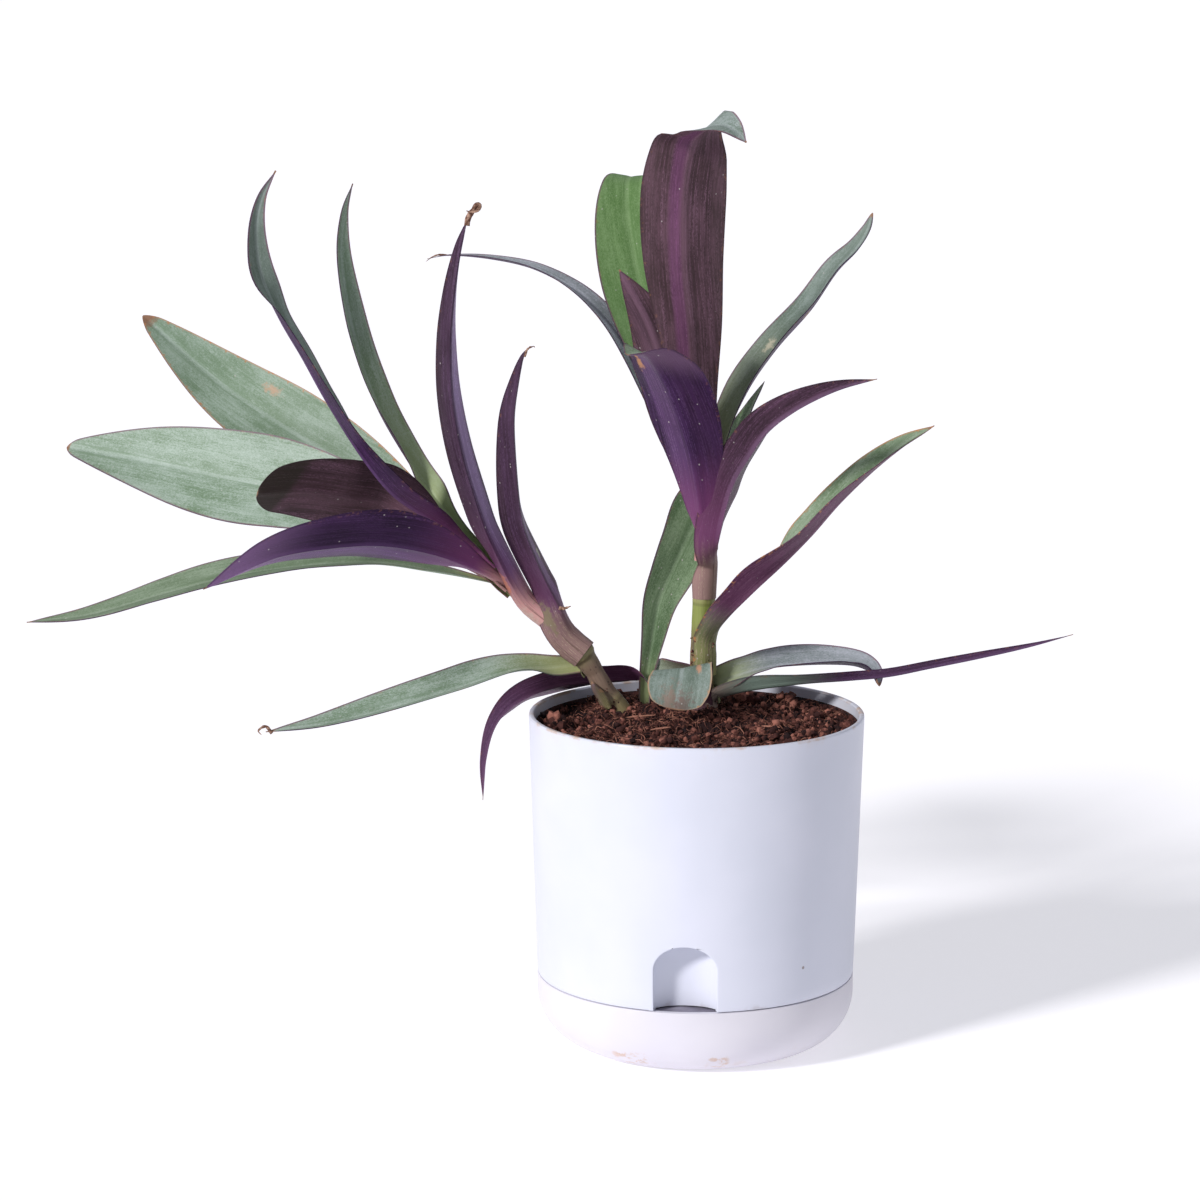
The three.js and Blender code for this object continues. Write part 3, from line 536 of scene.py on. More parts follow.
bends = [pi * i / 32 for i in range(33)]
crescent = [(10.4 * cos(b), 8.6 * sin(b)) for b in bends]
gap_middle = 2.6 - SEAM_RADIUS
# A thin grey plate fills the gap under the niche: painted shade.
shade = prism("niche_gap_shade", crescent, base - 0.9, base - 0.5, lambda a, b, level: (a, gap_middle + b, level))
shade.data.materials.append(gap_shade_finish().material)
settle(shade, "planter_plastic")

# %% Soften the arch's moulded edge
ARCH_SOFTNESS = 0.35


def soften_arch(made):
    shape = bmesh.new()
    shape.from_mesh(made.data)
    bmesh.ops.remove_doubles(shape, verts=shape.verts, dist=0.02 * MM)
    lips = []
    for edge in shape.edges:
        middle = (edge.verts[0].co + edge.verts[1].co) / (2 * MM)
        off_wall = abs(hypot(middle.x, middle.y) - wall_radius(middle.z))
        front = middle.y < -40 and abs(middle.x) < 11.5 and 26 < middle.z < 47
        if front and off_wall < 0.25 and edge.calc_face_angle(0) > radians(40):
            lips.append(edge)
    if lips:
        width = ARCH_SOFTNESS * MM
        bmesh.ops.bevel(shape, geom=lips, offset=width, segments=3, profile=0.5, affect="EDGES")
    shape.to_mesh(made.data)
    shape.free()
    print("arch edges softened:", len(lips))


soften_arch(planter)
smooth(planter, 35)
settle(planter, "planter_plastic", "planter")

# %% The dish
DISH_FILLET = 17.9
top = SEAM_HEIGHT - CLEARANCE / 2
centre = SEAM_RADIUS - DISH_FILLET
quarter_turn = [pi / 2 * i / 16 for i in range(17)]
dish_profile = [(0, 0)]
for bend in quarter_turn:
    dish_profile.append((centre + DISH_FILLET * sin(bend), DISH_FILLET * (1 - cos(bend))))
dish_profile += [
    (SEAM_RADIUS, top - 0.4), (SEAM_RADIUS - 0.1, top - 0.12), (SEAM_RADIUS - 0.4, top),
    (SEAM_RADIUS - WALL, top),
]
hollow = DISH_FILLET - WALL
for bend in quarter_turn[::-1]:
    dish_profile.append((centre + hollow * sin(bend), DISH_FILLET - hollow * cos(bend)))
dish_profile.append((0, WALL))
dish = turned("water_dish", dish_profile, [dish_plastic()])
settle(dish, "dish_plastic", "reservoir_dish")
print("dish faces:", len(dish.data.polygons))


# %% [markdown]
# ## The soil
#
# Coconut-fibre soil is a loose bed of brown crumbs with fine hairs of fibre. The bed is a turned form
# whose top is raised and sunk by the same broad waves as the CAD model. A picture of crumbs painted on it
# would look flat at the rim, so thousands of small lumps and bent fibres lie on it as real geometry, all
# of them placed by seeded chance, with a few larger clods where the photograph shows them.

# %% The soil's finish
def soil_finish(name, dark, mid, light):
    f = Finish(name, Specular_IOR_Level=0.25)
    here = place(f)
    pick = read(f, "pick")
    f.start(dark, mid, rise(f, pick + cloud(f, here, 420, 3) * 0.5, 0.25, 0.95))
    f.lay(light, rise(f, pick * 0.7 + cloud(f, here, 900, 2) * 0.6, 0.66, 0.98))
    return f.seal(0.86 + cloud(f, here, 300, 2) * 0.12, cloud(f, here, 1500, 4, 0.7), 0.35, 0.9)


coir = soil_finish("coir_crumbs", (25, 13, 17), (90, 52, 46), (164, 108, 94))
fibre = soil_finish("coir_fibres", (62, 34, 30), (114, 70, 60), (168, 118, 100))

# %% The soil bed
SOIL_LEVEL, SOIL_RELIEF = 110.6, 1.3


def inner_radius(height):
    return wall_radius(height) - WALL - CLEARANCE - 0.1


soil_edge = inner_radius(SOIL_LEVEL)
HOLLOWS = [(7, -13, 16, 8, 2.6), (-44, 10, 9, 17, 3.2)]


def sunken(x, y):
    """How far the soil has sunk at a place, in the few hollows that the photograph shows."""
    return sum(deep * (1 - eased(0.35, 1.0, hypot((x - a) / wide, (y - b) / long)))
               for a, b, wide, long, deep in HOLLOWS)


def soil_height(x, y):
    broad = sin(x * 0.13 + 1.1) * cos(y * 0.16 - 0.6)
    middle = sin(x * 0.33 - y * 0.21 + 2.0) * 0.6
    fine = cos(x * 0.55 + y * 0.62 + 0.4) * 0.4
    rough = wander(x * 0.28, y * 0.28, 3) + wander(x * 0.8, y * 0.8, 9.0) * 0.5
    mound = 1.6 * wander(x * 0.09, y * 0.09, 5.0)
    far = hypot(x, y) / soil_edge
    dip = 2.4 * eased(0.80, 0.98, far) * (0.5 + wander(x * 0.06, y * 0.06, 7.0))
    return SOIL_LEVEL + SOIL_RELIEF * 0.5 * (broad + middle + fine) + rough * 1.9 + mound - dip - sunken(x, y)


def soil_bed():
    floor_level = base + WALL + CLEARANCE
    foot = foot_inside - CLEARANCE
    low_edge = inner_radius(floor_level)
    plug_bottom = FOOT_BOTTOM + WALL + CLEARANCE
    profile = [
        (0, plug_bottom), (foot, plug_bottom), (foot + 0.8, floor_level), (low_edge - 1.3, floor_level),
        (low_edge, floor_level + 3), (soil_edge, SOIL_LEVEL),
    ]
    rings = 60
    profile += [(soil_edge * i / rings, SOIL_LEVEL) for i in range(rings - 1, -1, -1)]
    bed = turned("soil_bed", profile, [coir])
    carve(bed, niche_space(NICHE_WALL + CLEARANCE, 10), "DIFFERENCE")
    for vertex in bed.data.vertices:
        x, y, z = (c / MM for c in vertex.co)
        if z > SOIL_LEVEL - 0.01:
            fade = min(1.0, (soil_edge - hypot(x, y)) / 3.0)
            vertex.co.z = (SOIL_LEVEL + (soil_height(x, y) - SOIL_LEVEL) * max(fade, 0.0)) * MM
    chance = random.Random(11)
    # Picks shrink in the hollows, which darkens the bed there: painted shade.
    picks = [chance.random() * 0.5 / (1 + sunken(v.co.x / MM, v.co.y / MM)) for v in bed.data.vertices]
    bed.data.attributes.new("pick", "FLOAT", "POINT").data.foreach_set("value", picks)
    smooth(bed, 60)
    settle(bed, "soil", "soil")
    print("soil bed faces:", len(bed.data.polygons))


soil_bed()

# %% A heap of small things in one mesh
class Heap:
    """Many small forms in one mesh. Each has a pick, a number that the finish turns into its tone."""

    def __init__(self):
        self.points, self.faces, self.picks = [], [], []

    def add(self, points, faces, pick):
        start = len(self.points)
        self.points += [tuple(p) for p in points]
        self.faces += [tuple(start + i for i in face) for face in faces]
        self.picks += [pick] * len(points)

    def settle(self, name, finish, crisp):
        settle(piece(name, self.points, self.faces, [finish], crisp, {"pick": self.picks}), "soil")
        print(name, "has", len(self.faces), "faces")


# %% Crumbs and clods
CRUMB_COUNT, CLOD_LUMPS = 8600, 14
CLODS = [
    (-46.5, -12.5, 3.4), (-38, -20, 1.9), (50, -12, 2.6), (44, -24, 2.4), (-20, -39, 2.0), (15, -41, 2.1),
    (33, -33, 2.2), (6, -30, 1.8), (40, 8, 2.4), (30, 26, 2.6), (12, 40, 2.2), (-30, 36, 2.4),
    (13, 31, 3.6), (18, 33, 2.8), (27, -22, 2.4), (-8, -44, 2.0),
]
GOLD = (1 + 5 ** 0.5) / 2
LUMP_POINTS = [Vector(p).normalized() for p in (
    (-1, GOLD, 0), (1, GOLD, 0), (-1, -GOLD, 0), (1, -GOLD, 0), (0, -1, GOLD), (0, 1, GOLD),
    (0, -1, -GOLD), (0, 1, -GOLD), (GOLD, 0, -1), (GOLD, 0, 1), (-GOLD, 0, -1), (-GOLD, 0, 1))]
LUMP_FACES = (
    (0, 11, 5), (0, 5, 1), (0, 1, 7), (0, 7, 10), (0, 10, 11), (1, 5, 9), (5, 11, 4), (11, 10, 2),
    (10, 7, 6), (7, 1, 8), (3, 9, 4), (3, 4, 2), (3, 2, 6), (3, 6, 8), (3, 8, 9), (4, 9, 5),
    (2, 4, 11), (6, 2, 10), (8, 6, 7), (9, 8, 1))


def any_way(chance, spread):
    return Vector([chance.gauss(0, spread) for _ in range(3)])


def lump(heap, chance, middle, size):
    """Adds a rough crumb with twenty faces, turned and stretched by chance."""
    angle = chance.uniform(0, 6.3)
    turn_by = Matrix.Rotation(angle, 3, any_way(chance, 1).normalized())
    stretch = Vector([chance.uniform(0.65, 1.25) for _ in range(3)])
    points = []
    for corner in LUMP_POINTS:
        grown = Vector([c * s for c, s in zip(corner, stretch)]) * size * chance.uniform(0.72, 1.2)
        points.append(Vector(middle) + turn_by @ grown)
    pick = 0.8 * chance.random() + 0.4 * wander(*(Vector(middle) * 0.16)) + 0.1
    # The pick shrinks in the hollows, so crumbs there are darker: painted shade.
    heap.add(points, LUMP_FACES, pick / (1 + 0.7 * sunken(middle[0], middle[1])))


def soil_crumbs():
    chance, heap = random.Random(23), Heap()
    for _ in range(CRUMB_COUNT):
        size = 0.26 + 1.25 * chance.random() ** 4.5
        far = (soil_edge - 0.4 - size) * chance.random() ** 0.5
        angle = chance.uniform(0, tau)
        x, y = far * cos(angle), far * sin(angle)
        lump(heap, chance, (x, y, soil_height(x, y) + size * chance.uniform(-0.2, 0.6)), size)
    for x, y, size in CLODS:
        for _ in range(CLOD_LUMPS):
            off = any_way(chance, 0.36) * size
            where = (x + off.x, y + off.y, soil_height(x, y) + size * 0.45 + off.z)
            lump(heap, chance, where, size * chance.uniform(0.45, 0.75))
    heap.settle("soil_crumbs", coir, 60)


soil_crumbs()

# %% Fibres and bits of stick
FIBRE_COUNT = 1500
STICKS = [(-24, -1, 0.2, 10), (-14, -22, 0.35, 7), (22, -14, -0.5, 8), (36, 14, 1.2, 9)]


def strand(heap, path, radius, pick):
    """Adds a thin three-sided tube along a path, with pointed ends."""
    points, faces = [], []
    for i, middle in enumerate(path):
        ahead = (path[min(i + 1, len(path) - 1)] - path[max(i - 1, 0)]).normalized()
        side = ahead.cross(Vector((0, 0, 1))).normalized()
        over = side.cross(ahead)
        thin = radius * (0.4 if i in (0, len(path) - 1) else 1.0)
        for k in range(3):
            angle = tau * k / 3
            points.append(middle + (side * cos(angle) + over * sin(angle)) * thin)
    for a in range(0, len(points) - 3, 3):
        for k in range(3):
            n = (k + 1) % 3
            faces.append((a + k, a + n, a + 3 + n, a + 3 + k))
    last = len(points) - 3
    heap.add(points, faces + [(2, 1, 0), (last, last + 1, last + 2)], pick)


def soil_fibres():
    chance, heap = random.Random(37), Heap()
    for _ in range(FIBRE_COUNT):
        length = chance.uniform(2.5, 9.0)
        far = (soil_edge - 2.5) * chance.random() ** 0.5
        angle = chance.uniform(0, tau)
        x, y = far * cos(angle), far * sin(angle)
        heading, bend = chance.uniform(0, tau), chance.gauss(0, 0.5)
        lift, arch = chance.uniform(0.1, 0.9), chance.uniform(-0.2, 1.1)
        path = []
        for i in range(6):
            path.append(Vector((x, y, soil_height(x, y) + lift + arch * sin(pi * i / 5))))
            if hypot(x + cos(heading) * 2, y + sin(heading) * 2) > soil_edge - 1.5:
                heading += pi * 0.6
            x += cos(heading) * length / 5
            y += sin(heading) * length / 5
            heading += bend
        strand(heap, path, chance.uniform(0.07, 0.17), chance.random())
    for x, y, heading, length in STICKS:
        reach = Vector((cos(heading), sin(heading), 0)) * length / 4
        level = soil_height(x, y) + 0.9
        strand(heap, [Vector((x, y, level + 0.15 * i)) + reach * i for i in range(5)], 0.45, 0.95)
    heap.settle("soil_fibres", fibre, 70)


soil_fibres()

# %% [markdown]
# ## Smooth lines
#
# Stems and midribs are smooth lines through a few given points. The line is walked by distance, so
# rows of points lie evenly along it. Blender's own curves could do this, but the CAD model walks its lines
# in exactly this way, and the same sums keep the dressed leaves on the solid ones.

# %% A smooth line that is walked by distance
class SmoothLine:
    """A smooth line through points, with its place and direction at any share of its length."""

    def __init__(self, points):
        self.points = [Vector(p) for p in points]
        self.marks = [0.0]
        last = self.at(0)
        for i in range(1, 201):
            here = self.at(i / 200)
            self.marks.append(self.marks[-1] + (here - last).length)
            last = here
        self.length = self.marks[-1]

    def at(self, t):
        p = self.points
        whole = min(int(t * (len(p) - 1)), len(p) - 2)
        s = t * (len(p) - 1) - whole
        before = p[whole - 1] if whole > 0 else p[0] * 2 - p[1]
        after = p[whole + 2] if whole + 2 < len(p) else p[-1] * 2 - p[-2]
        here, there = p[whole], p[whole + 1]
        lead, trail = (there - before) * 0.5, (after - here) * 0.5
        bend = (there - here) * 3 - lead * 2 - trail
        end = (here - there) * 2 + lead + trail
        return here + lead * s + bend * s * s + end * s ** 3

    def find(self, share):
        goal = share * self.length
        i = min(max(bisect_left(self.marks, goal), 1), 200)
        low, high = self.marks[i - 1], self.marks[i]
        return (i - 1 + (goal - low) / max(high - low, 1e-9)) / 200

    def point(self, share):
        return self.at(self.find(share))

    def heading(self, share):
        t = self.find(share)
        return (self.at(min(t + 1e-4, 1)) - self.at(max(t - 1e-4, 0))).normalized()


# %% [markdown]
# ## The stems
#
# Each shoot stands on a round, fleshy stem with a ring where a leaf once sat. Low down a stem is olive and
# brown, and higher up it turns pink and purple under the leaves' sheaths. The form is a tube swept along
# the stem's line, a little fuller at its rings, and the finish reads how far up the stem a point is.

# %% The stems' lines
STEMS = {
    "left": [
        (-22.8, 17.6, 99.5, 4.8), (-27.5, 17.0, 109.5, 4.5), (-32.3, 16.0, 116.5, 3.8),
        (-36.0, 15.0, 124.0, 3.3), (-39.2, 14.3, 128.7, 4.0), (-41.0, 13.9, 131.1, 4.8),
        (-41.6, 13.9, 131.8, 1.3), (-43.5, 13.7, 133.8, 1.3), (-48.0, 13.5, 138.5, 1.3),
        (-58.0, 13.0, 148.0, 1.4), (-67.5, 13.0, 156.0, 1.6), (-74.0, 13.5, 162.0, 1.8),
        (-79.0, 14.0, 168.0, 1.8),
    ],
    "right": [
        (1.0, 20.5, 98.0, 4.4), (0.6, 21.0, 108.4, 4.4), (0.2, 21.0, 120.7, 4.2), (0.5, 21.0, 133.0, 4.0),
        (1.1, 21.0, 150.0, 3.9), (1.15, 21.0, 151.2, 1.9), (1.7, 21.0, 162.7, 1.8), (2.0, 21.0, 173.2, 1.6),
        (2.3, 21.0, 183.0, 1.5), (2.5, 21.0, 190.0, 1.3),
    ],
}
STEM_LINES = {name: SmoothLine([row[:3] for row in rows]) for name, rows in STEMS.items()}
RINGS = {"left": [(17, 0.15), (35.6, 0.5)], "right": [(20, 0.15), (51, 0.12)]}


def stem_radius(name, share):
    height = STEM_LINES[name].point(share).z
    rows = STEMS[name]
    for low, high in zip(rows, rows[1:]):
        if height <= high[2] or high is rows[-1]:
            part = min(max((height - low[2]) / (high[2] - low[2]), 0.0), 1.0)
            return between(low[3], high[3], part)


# %% The stems' finish
def stem_finish(name, low, middle, high, marks):
    """A stem that changes its tone at two marks, with a pale and a dark line at each of its rings."""
    f = Finish("stem_" + name, Specular_IOR_Level=0.5)
    up, around = read(f, "up"), read(f, "around")
    streak = cloud(f, pack(f, around * 9.0, up * 0.06), 1.0, 3, 0.6)
    f.start(low, middle, rise(f, up + streak * 6, marks[0], marks[0] + 9))
    f.lay(high, rise(f, up + streak * 8, marks[1], marks[1] + 9))
    f.lay((84, 60, 62), rise(f, streak, 0.52, 0.72) * 0.5)
    f.lay((168, 160, 128), rise(f, 1 - streak, 0.60, 0.75) * 0.35)
    for at, _ in RINGS[name]:
        f.lay((150, 140, 100), beside(f, (up - at) * 0.9, 0.1) * 0.35)
        f.lay((84, 66, 50), beside(f, (up - (at - 1.3)) * 1.4, 0.1) * 0.3)
    dirt = specks(f, pack(f, around * 4.2, up), 0.75, 0.3, 0.35) * fall(f, up, 22, 40)
    f.lay((58, 34, 27), dirt)
    return f.seal(0.36 + streak * 0.2, streak + dirt, 0.25, 0.7)


# %% The stems' tubes
def grow_stem(name, finish):
    line = STEM_LINES[name]
    rows, columns = 150, 32
    facing = Vector((0, -1, 0))
    points, up, around = [], [], []
    for i in range(rows + 1):
        share = i / rows
        ahead = line.heading(share)
        facing = (facing - ahead * facing.dot(ahead)).normalized()
        side = ahead.cross(facing)
        far = share * line.length
        swell = sum(grow * exp(-((far - at) / 1.1) ** 2) for at, grow in RINGS[name])
        rough = 0.12 * wander(far * 0.2, 5.0, 1.0)
        radius = stem_radius(name, share) + swell + rough
        for j in range(columns):
            angle = tau * j / columns
            ridge = 0.07 * sin(angle * 9) + 0.05 * wander(angle * 3, far * 0.1, 2.0)
            reach = radius + ridge - 0.1
            points.append(line.point(share) + (side * cos(angle) + facing * sin(angle)) * reach)
            up.append(far)
            around.append(abs(angle - pi))
    marks = {"up": up, "around": around}
    made = piece("stem_" + name + "_tube", points, tube_faces(rows, columns), [finish], 50, marks)
    settle(made, "stem", "stem_" + name)


STEM_TONES = {
    "left": ((142, 130, 92), (134, 112, 96), (138, 138, 92), (16, 34)),
    "right": ((118, 102, 68), (136, 146, 72), (160, 152, 116), (38, 53)),
}
for name, tones in STEM_TONES.items():
    grow_stem(name, stem_finish(name, *tones))
print("stems of", [round(line.length) for line in STEM_LINES.values()], "mm")


# %% [markdown]
# ## The form of a leaf
#
# A strap leaf clasps its stem with a sheath and then runs out as a long folded blade. Its midrib is a
# smooth line, its width swells and tapers along it, and its cross-section turns from a ring round the stem
# into a shallow fold. `midrib`, `face_at` and `half_width` repeat the CAD model's own rules, and the grid
# here is finer, with a thin margin, a sunken midrib, a keel below and slightly wavy edges.

# %% The line of a leaf's midrib
RIB, SHEATH_STEP = 1.0, 1.2
TUCK, FOOT_DROP = 0.35, 1.3


def midrib(leaf):
    """The leaf's line, the direction from it to the stem, the radius clasped and the sheath's share."""
    if not leaf.get("stem"):
        return SmoothLine(leaf["route"]), Vector(leaf["faces"][0][1:]), leaf["start"], 0.05
    stem = STEM_LINES[leaf["stem"]]
    outwards = Vector(leaf["side"])
    low, high = (mark / stem.length for mark in leaf["sheath"])
    lift = CLEARANCE + RIB / 2 + 0.1 + (leaf["layer"] - 1) * SHEATH_STEP
    held = []
    for share in (low, (low + high) / 2, high):
        ahead = stem.heading(share)
        away = (outwards - ahead * outwards.dot(ahead)).normalized()
        held.append(stem.point(share) + away * (stem_radius(leaf["stem"], share) + lift))
    line = SmoothLine(held + leaf["route"])
    sheath = leaf["clasp"] / line.length
    return line, -outwards, stem_radius(leaf["stem"], low) + lift, sheath


# %% Which way the upper face looks
def face_at(leaf, inwards, sheath, share, ahead):
    keys = [(0, inwards), (sheath, inwards)]
    keys += [(key[0], Vector(key[1:])) for key in leaf["faces"] if key[0] > sheath]
    low = 0
    while low < len(keys) - 2 and share > keys[low + 1][0]:
        low += 1

    def square(way):
        return (way - ahead * way.dot(ahead)).normalized()

    part = eased(keys[low][0], keys[low + 1][0], share)
    return square(square(keys[low][1]).lerp(square(keys[low + 1][1]), part))


# %% How wide a leaf is along its length
def half_width(leaf, radius, sheath, share):
    if leaf.get("stem"):
        angle = between(leaf.get("close", leaf["wrap"]), leaf["wrap"], eased(0.0, sheath * 0.9, share))
        clasped = radians(angle) * radius
    else:
        clasped = leaf["start"] / 2
    full = leaf["width"] / 2
    if share < leaf["widest"]:
        return between(clasped, full, eased(sheath * 0.6, leaf["widest"], share))
    past = (share - leaf["widest"]) / (1 - leaf["widest"])
    end = leaf["tip"]
    taper = max(1 - past ** 1.9, 0.0) ** 0.95
    return max(full * (end + (1 - end) * taper), 0.3)


def rounded_end(leaf, half, to_tip):
    """A blunt leaf closes in a round end, and a pointed one keeps its taper."""
    reach = leaf.get("round", 9.0 if leaf["tip"] else 0.0)
    if to_tip >= reach:
        return half
    return max(half * sqrt(max(1 - (1 - to_tip / reach) ** 2, 0.0)), 0.3)


# %% The leaf's fine grid
LEAF_ROWS, LEAF_COLUMNS = 84, 20
LEAF_MARKS = ("along", "across", "margin", "to_tip")
HALF_THICK, HALF_THICK_EDGE = 0.24, 0.14
RIB_SUNK, RIB_RAISED = 0.22, 0.42


def section(reach, half, slope, gain):
    """How far out and up a point of half a cross-section lies, and how steep the leaf is there."""
    bent = gain * reach
    if abs(bent) < 1e-5:
        return cos(slope) * reach * half, sin(slope) * reach * half, slope
    out = (sin(slope + bent) - sin(slope)) / gain * half
    up = (cos(slope) - cos(slope + bent)) / gain * half
    return out, up, slope + bent


def leaf_grid(leaf, seed):
    line, inwards, radius, sheath = midrib(leaf)
    points, marks = [], {key: [] for key in LEAF_MARKS}
    waves = leaf.get("waves", 0.5)
    for i in range(LEAF_ROWS + 1):
        share = 1 - (1 - i / LEAF_ROWS) ** 1.25
        along = share * line.length
        ahead = line.heading(share)
        up_way = face_at(leaf, inwards, sheath, share, ahead)
        side = ahead.cross(up_way)
        whole = half_width(leaf, radius, sheath, share)
        half = rounded_end(leaf, whole, line.length - along)
        opened = eased(sheath * 0.7, sheath + 0.16, share) if leaf.get("stem") else 1.0
        slope = radians(leaf["fold"]) * opened
        wrap = half / radius if leaf.get("stem") else 0.0
        gain = between(wrap, radians(leaf["curl"]) * half / whole, opened)
        near_foot = 1 - eased(0, 7, along) if leaf.get("close") else 0.0
        tuck = TUCK * near_foot
        middle = line.point(share) + up_way * tuck - ahead * (FOOT_DROP * near_foot)
        half *= 1 - tuck / radius
        for face in (1, -1):
            for j in range(LEAF_COLUMNS + 1):
                spot = 2 * j / LEAF_COLUMNS - 1
                reach, hand = abs(spot), (spot > 0) - (spot < 0)
                out, up, steep = section(reach, half, slope, gain)
                ripple = wander(along * 0.045, seed + hand * 3.7, 0.5)
                up += waves * opened * reach ** 2 * ripple * min(half / 6, 1.0)
                rib = exp(-((spot * half) / 1.1) ** 2) * opened * min(half / 5, 1.0)
                thick = between(HALF_THICK, HALF_THICK_EDGE, reach) * min(half / 2.0, 1.0)
                shift = (thick - RIB_SUNK * rib) if face == 1 else -(thick + RIB_RAISED * rib)
                out = (out - shift * sin(steep)) * hand if hand else 0.0
                up += shift * cos(steep)
                points.append(middle + side * out + up_way * up)
                places = (along, spot * half, (1 - reach) * half, line.length - along)
                for key, number in zip(LEAF_MARKS, places):
                    marks[key].append(number)
    return points, marks, line


def leaf_faces():
    """The grid's faces and their finish: 0 for the upper face, 1 for the lower face and the margin."""
    wide = LEAF_COLUMNS + 1
    row = 2 * wide
    faces, slots = [], []
    for i in range(LEAF_ROWS):
        for j in range(LEAF_COLUMNS):
            a = i * row + j
            b = a + row
            faces += [(a, a + 1, b + 1, b), (a + wide, b + wide, b + 1 + wide, a + 1 + wide)]
            slots += [0, 1]
        left, right = i * row, i * row + LEAF_COLUMNS
        faces += [(left, left + row, left + row + wide, left + wide)]
        faces += [(right, right + wide, right + row + wide, right + row)]
        slots += [1, 1]
    for j in range(LEAF_COLUMNS):
        end = LEAF_ROWS * row + j
        faces += [(j, j + wide, j + 1 + wide, j + 1), (end, end + 1, end + 1 + wide, end + wide)]
        slots += [1, 1]
    return faces, slots


GRID_FACES, GRID_SLOTS = leaf_faces()
print("faces in a leaf's grid:", len(GRID_FACES))


# %% [markdown]
# ## The finish of a leaf
#
# Above, a leaf is green with a silvery bloom: pale streaks that follow its parallel veins, a darker line
# beside the midrib and a thin purple margin. Below it is purple with fine stripes, a paler keel, a magenta
# tinge near the base and a satin gloss. Every leaf differs in age and light, so one recipe for each face
# is mixed from that leaf's own tones. The recipes read distances in millimetres that the grid carries.

# %% Tones of green and purple, as dark, middle and light
GREENS = {
    "silver": ((104, 128, 100), (136, 156, 136), (182, 196, 188)),
    "sage": ((92, 114, 82), (124, 144, 116), (168, 182, 164)),
    "leaf": ((82, 108, 72), (112, 140, 98), (152, 172, 142)),
    "bright": ((82, 116, 62), (106, 140, 84), (146, 172, 126)),
    "grey": ((90, 106, 94), (122, 138, 128), (172, 180, 182)),
    "steel": ((112, 122, 122), (142, 150, 154), (188, 190, 202)),
}
PURPLES = {
    "violet": ((38, 18, 46), (64, 36, 76), (110, 78, 126)),
    "plum": ((50, 28, 52), (76, 48, 78), (114, 86, 124)),
    "umber": ((58, 42, 46), (94, 68, 80), (132, 98, 118)),
    "dusk": ((42, 26, 36), (74, 48, 68), (110, 80, 106)),
    "rose": ((76, 44, 66), (110, 72, 98), (150, 112, 136)),
    "wine": ((46, 29, 43), (70, 49, 70), (102, 78, 108)),
}
BASES = {
    "rose": (198, 148, 142), "shaded": (84, 60, 62), "magenta": (130, 70, 116), "straw": (156, 158, 100),
    "pale": (158, 168, 116), "brown": (152, 124, 116), "olive": (130, 128, 80),
}
DRY = (138, 104, 82)
RUST = (178, 122, 80)
DUST = (206, 198, 196)


# %% Marks that both faces share
def leaf_marks(f, seed):
    """Where a point lies on the leaf, and three grains: long veins, fine speckle and broad patches."""
    along, across, margin, to_tip = (read(f, key) for key in LEAF_MARKS)
    veins = cloud(f, pack(f, across, along * 0.035, seed * 7.3), 1.25, 3, 0.6)
    speckle = cloud(f, pack(f, across * 3.4, along * 1.3, seed), 1.0, 3, 0.7)
    patches = cloud(f, pack(f, across * 0.17, along * 0.05, seed * 3.1), 1.0, 3, 0.6)
    return along, across, margin, to_tip, veins, speckle, patches


def blemishes(f, leaf, along, across, margin, to_tip, seed):
    """Ragged stains at their set places, tan bitten edges, a dry brown tip and specks of dust."""
    ragged = cloud(f, pack(f, across, along, seed * 5.7), 0.55, 5, 0.7)
    for far, off, size, stain in leaf.get("spots", ()):
        gap_along, gap_across = (along - far) * (0.5 / size), (across - off) * (1 / size)
        gap = (gap_along * gap_along + gap_across * gap_across) ** 0.5 + ragged * 2.2
        f.lay(stain, fall(f, gap, 1.3, 1.9) * 0.75)
    dry = leaf.get("dry", 5.0)
    f.lay(DRY, fall(f, to_tip + ragged * dry * 0.8, dry * 0.8, dry * 1.25))
    bitten = fall(f, margin, 0.5, 1.6) * rise(f, ragged, 0.54, 0.64) * leaf.get("bitten", 0.2)
    f.lay(RUST, bitten)
    dust = specks(f, pack(f, across, along * 0.7, seed), 0.55, 0.16, leaf.get("dust", 0.10))
    dust = dust * rise(f, ragged, 0.42, 0.58)
    f.lay(DUST, dust * 0.6)
    return dust


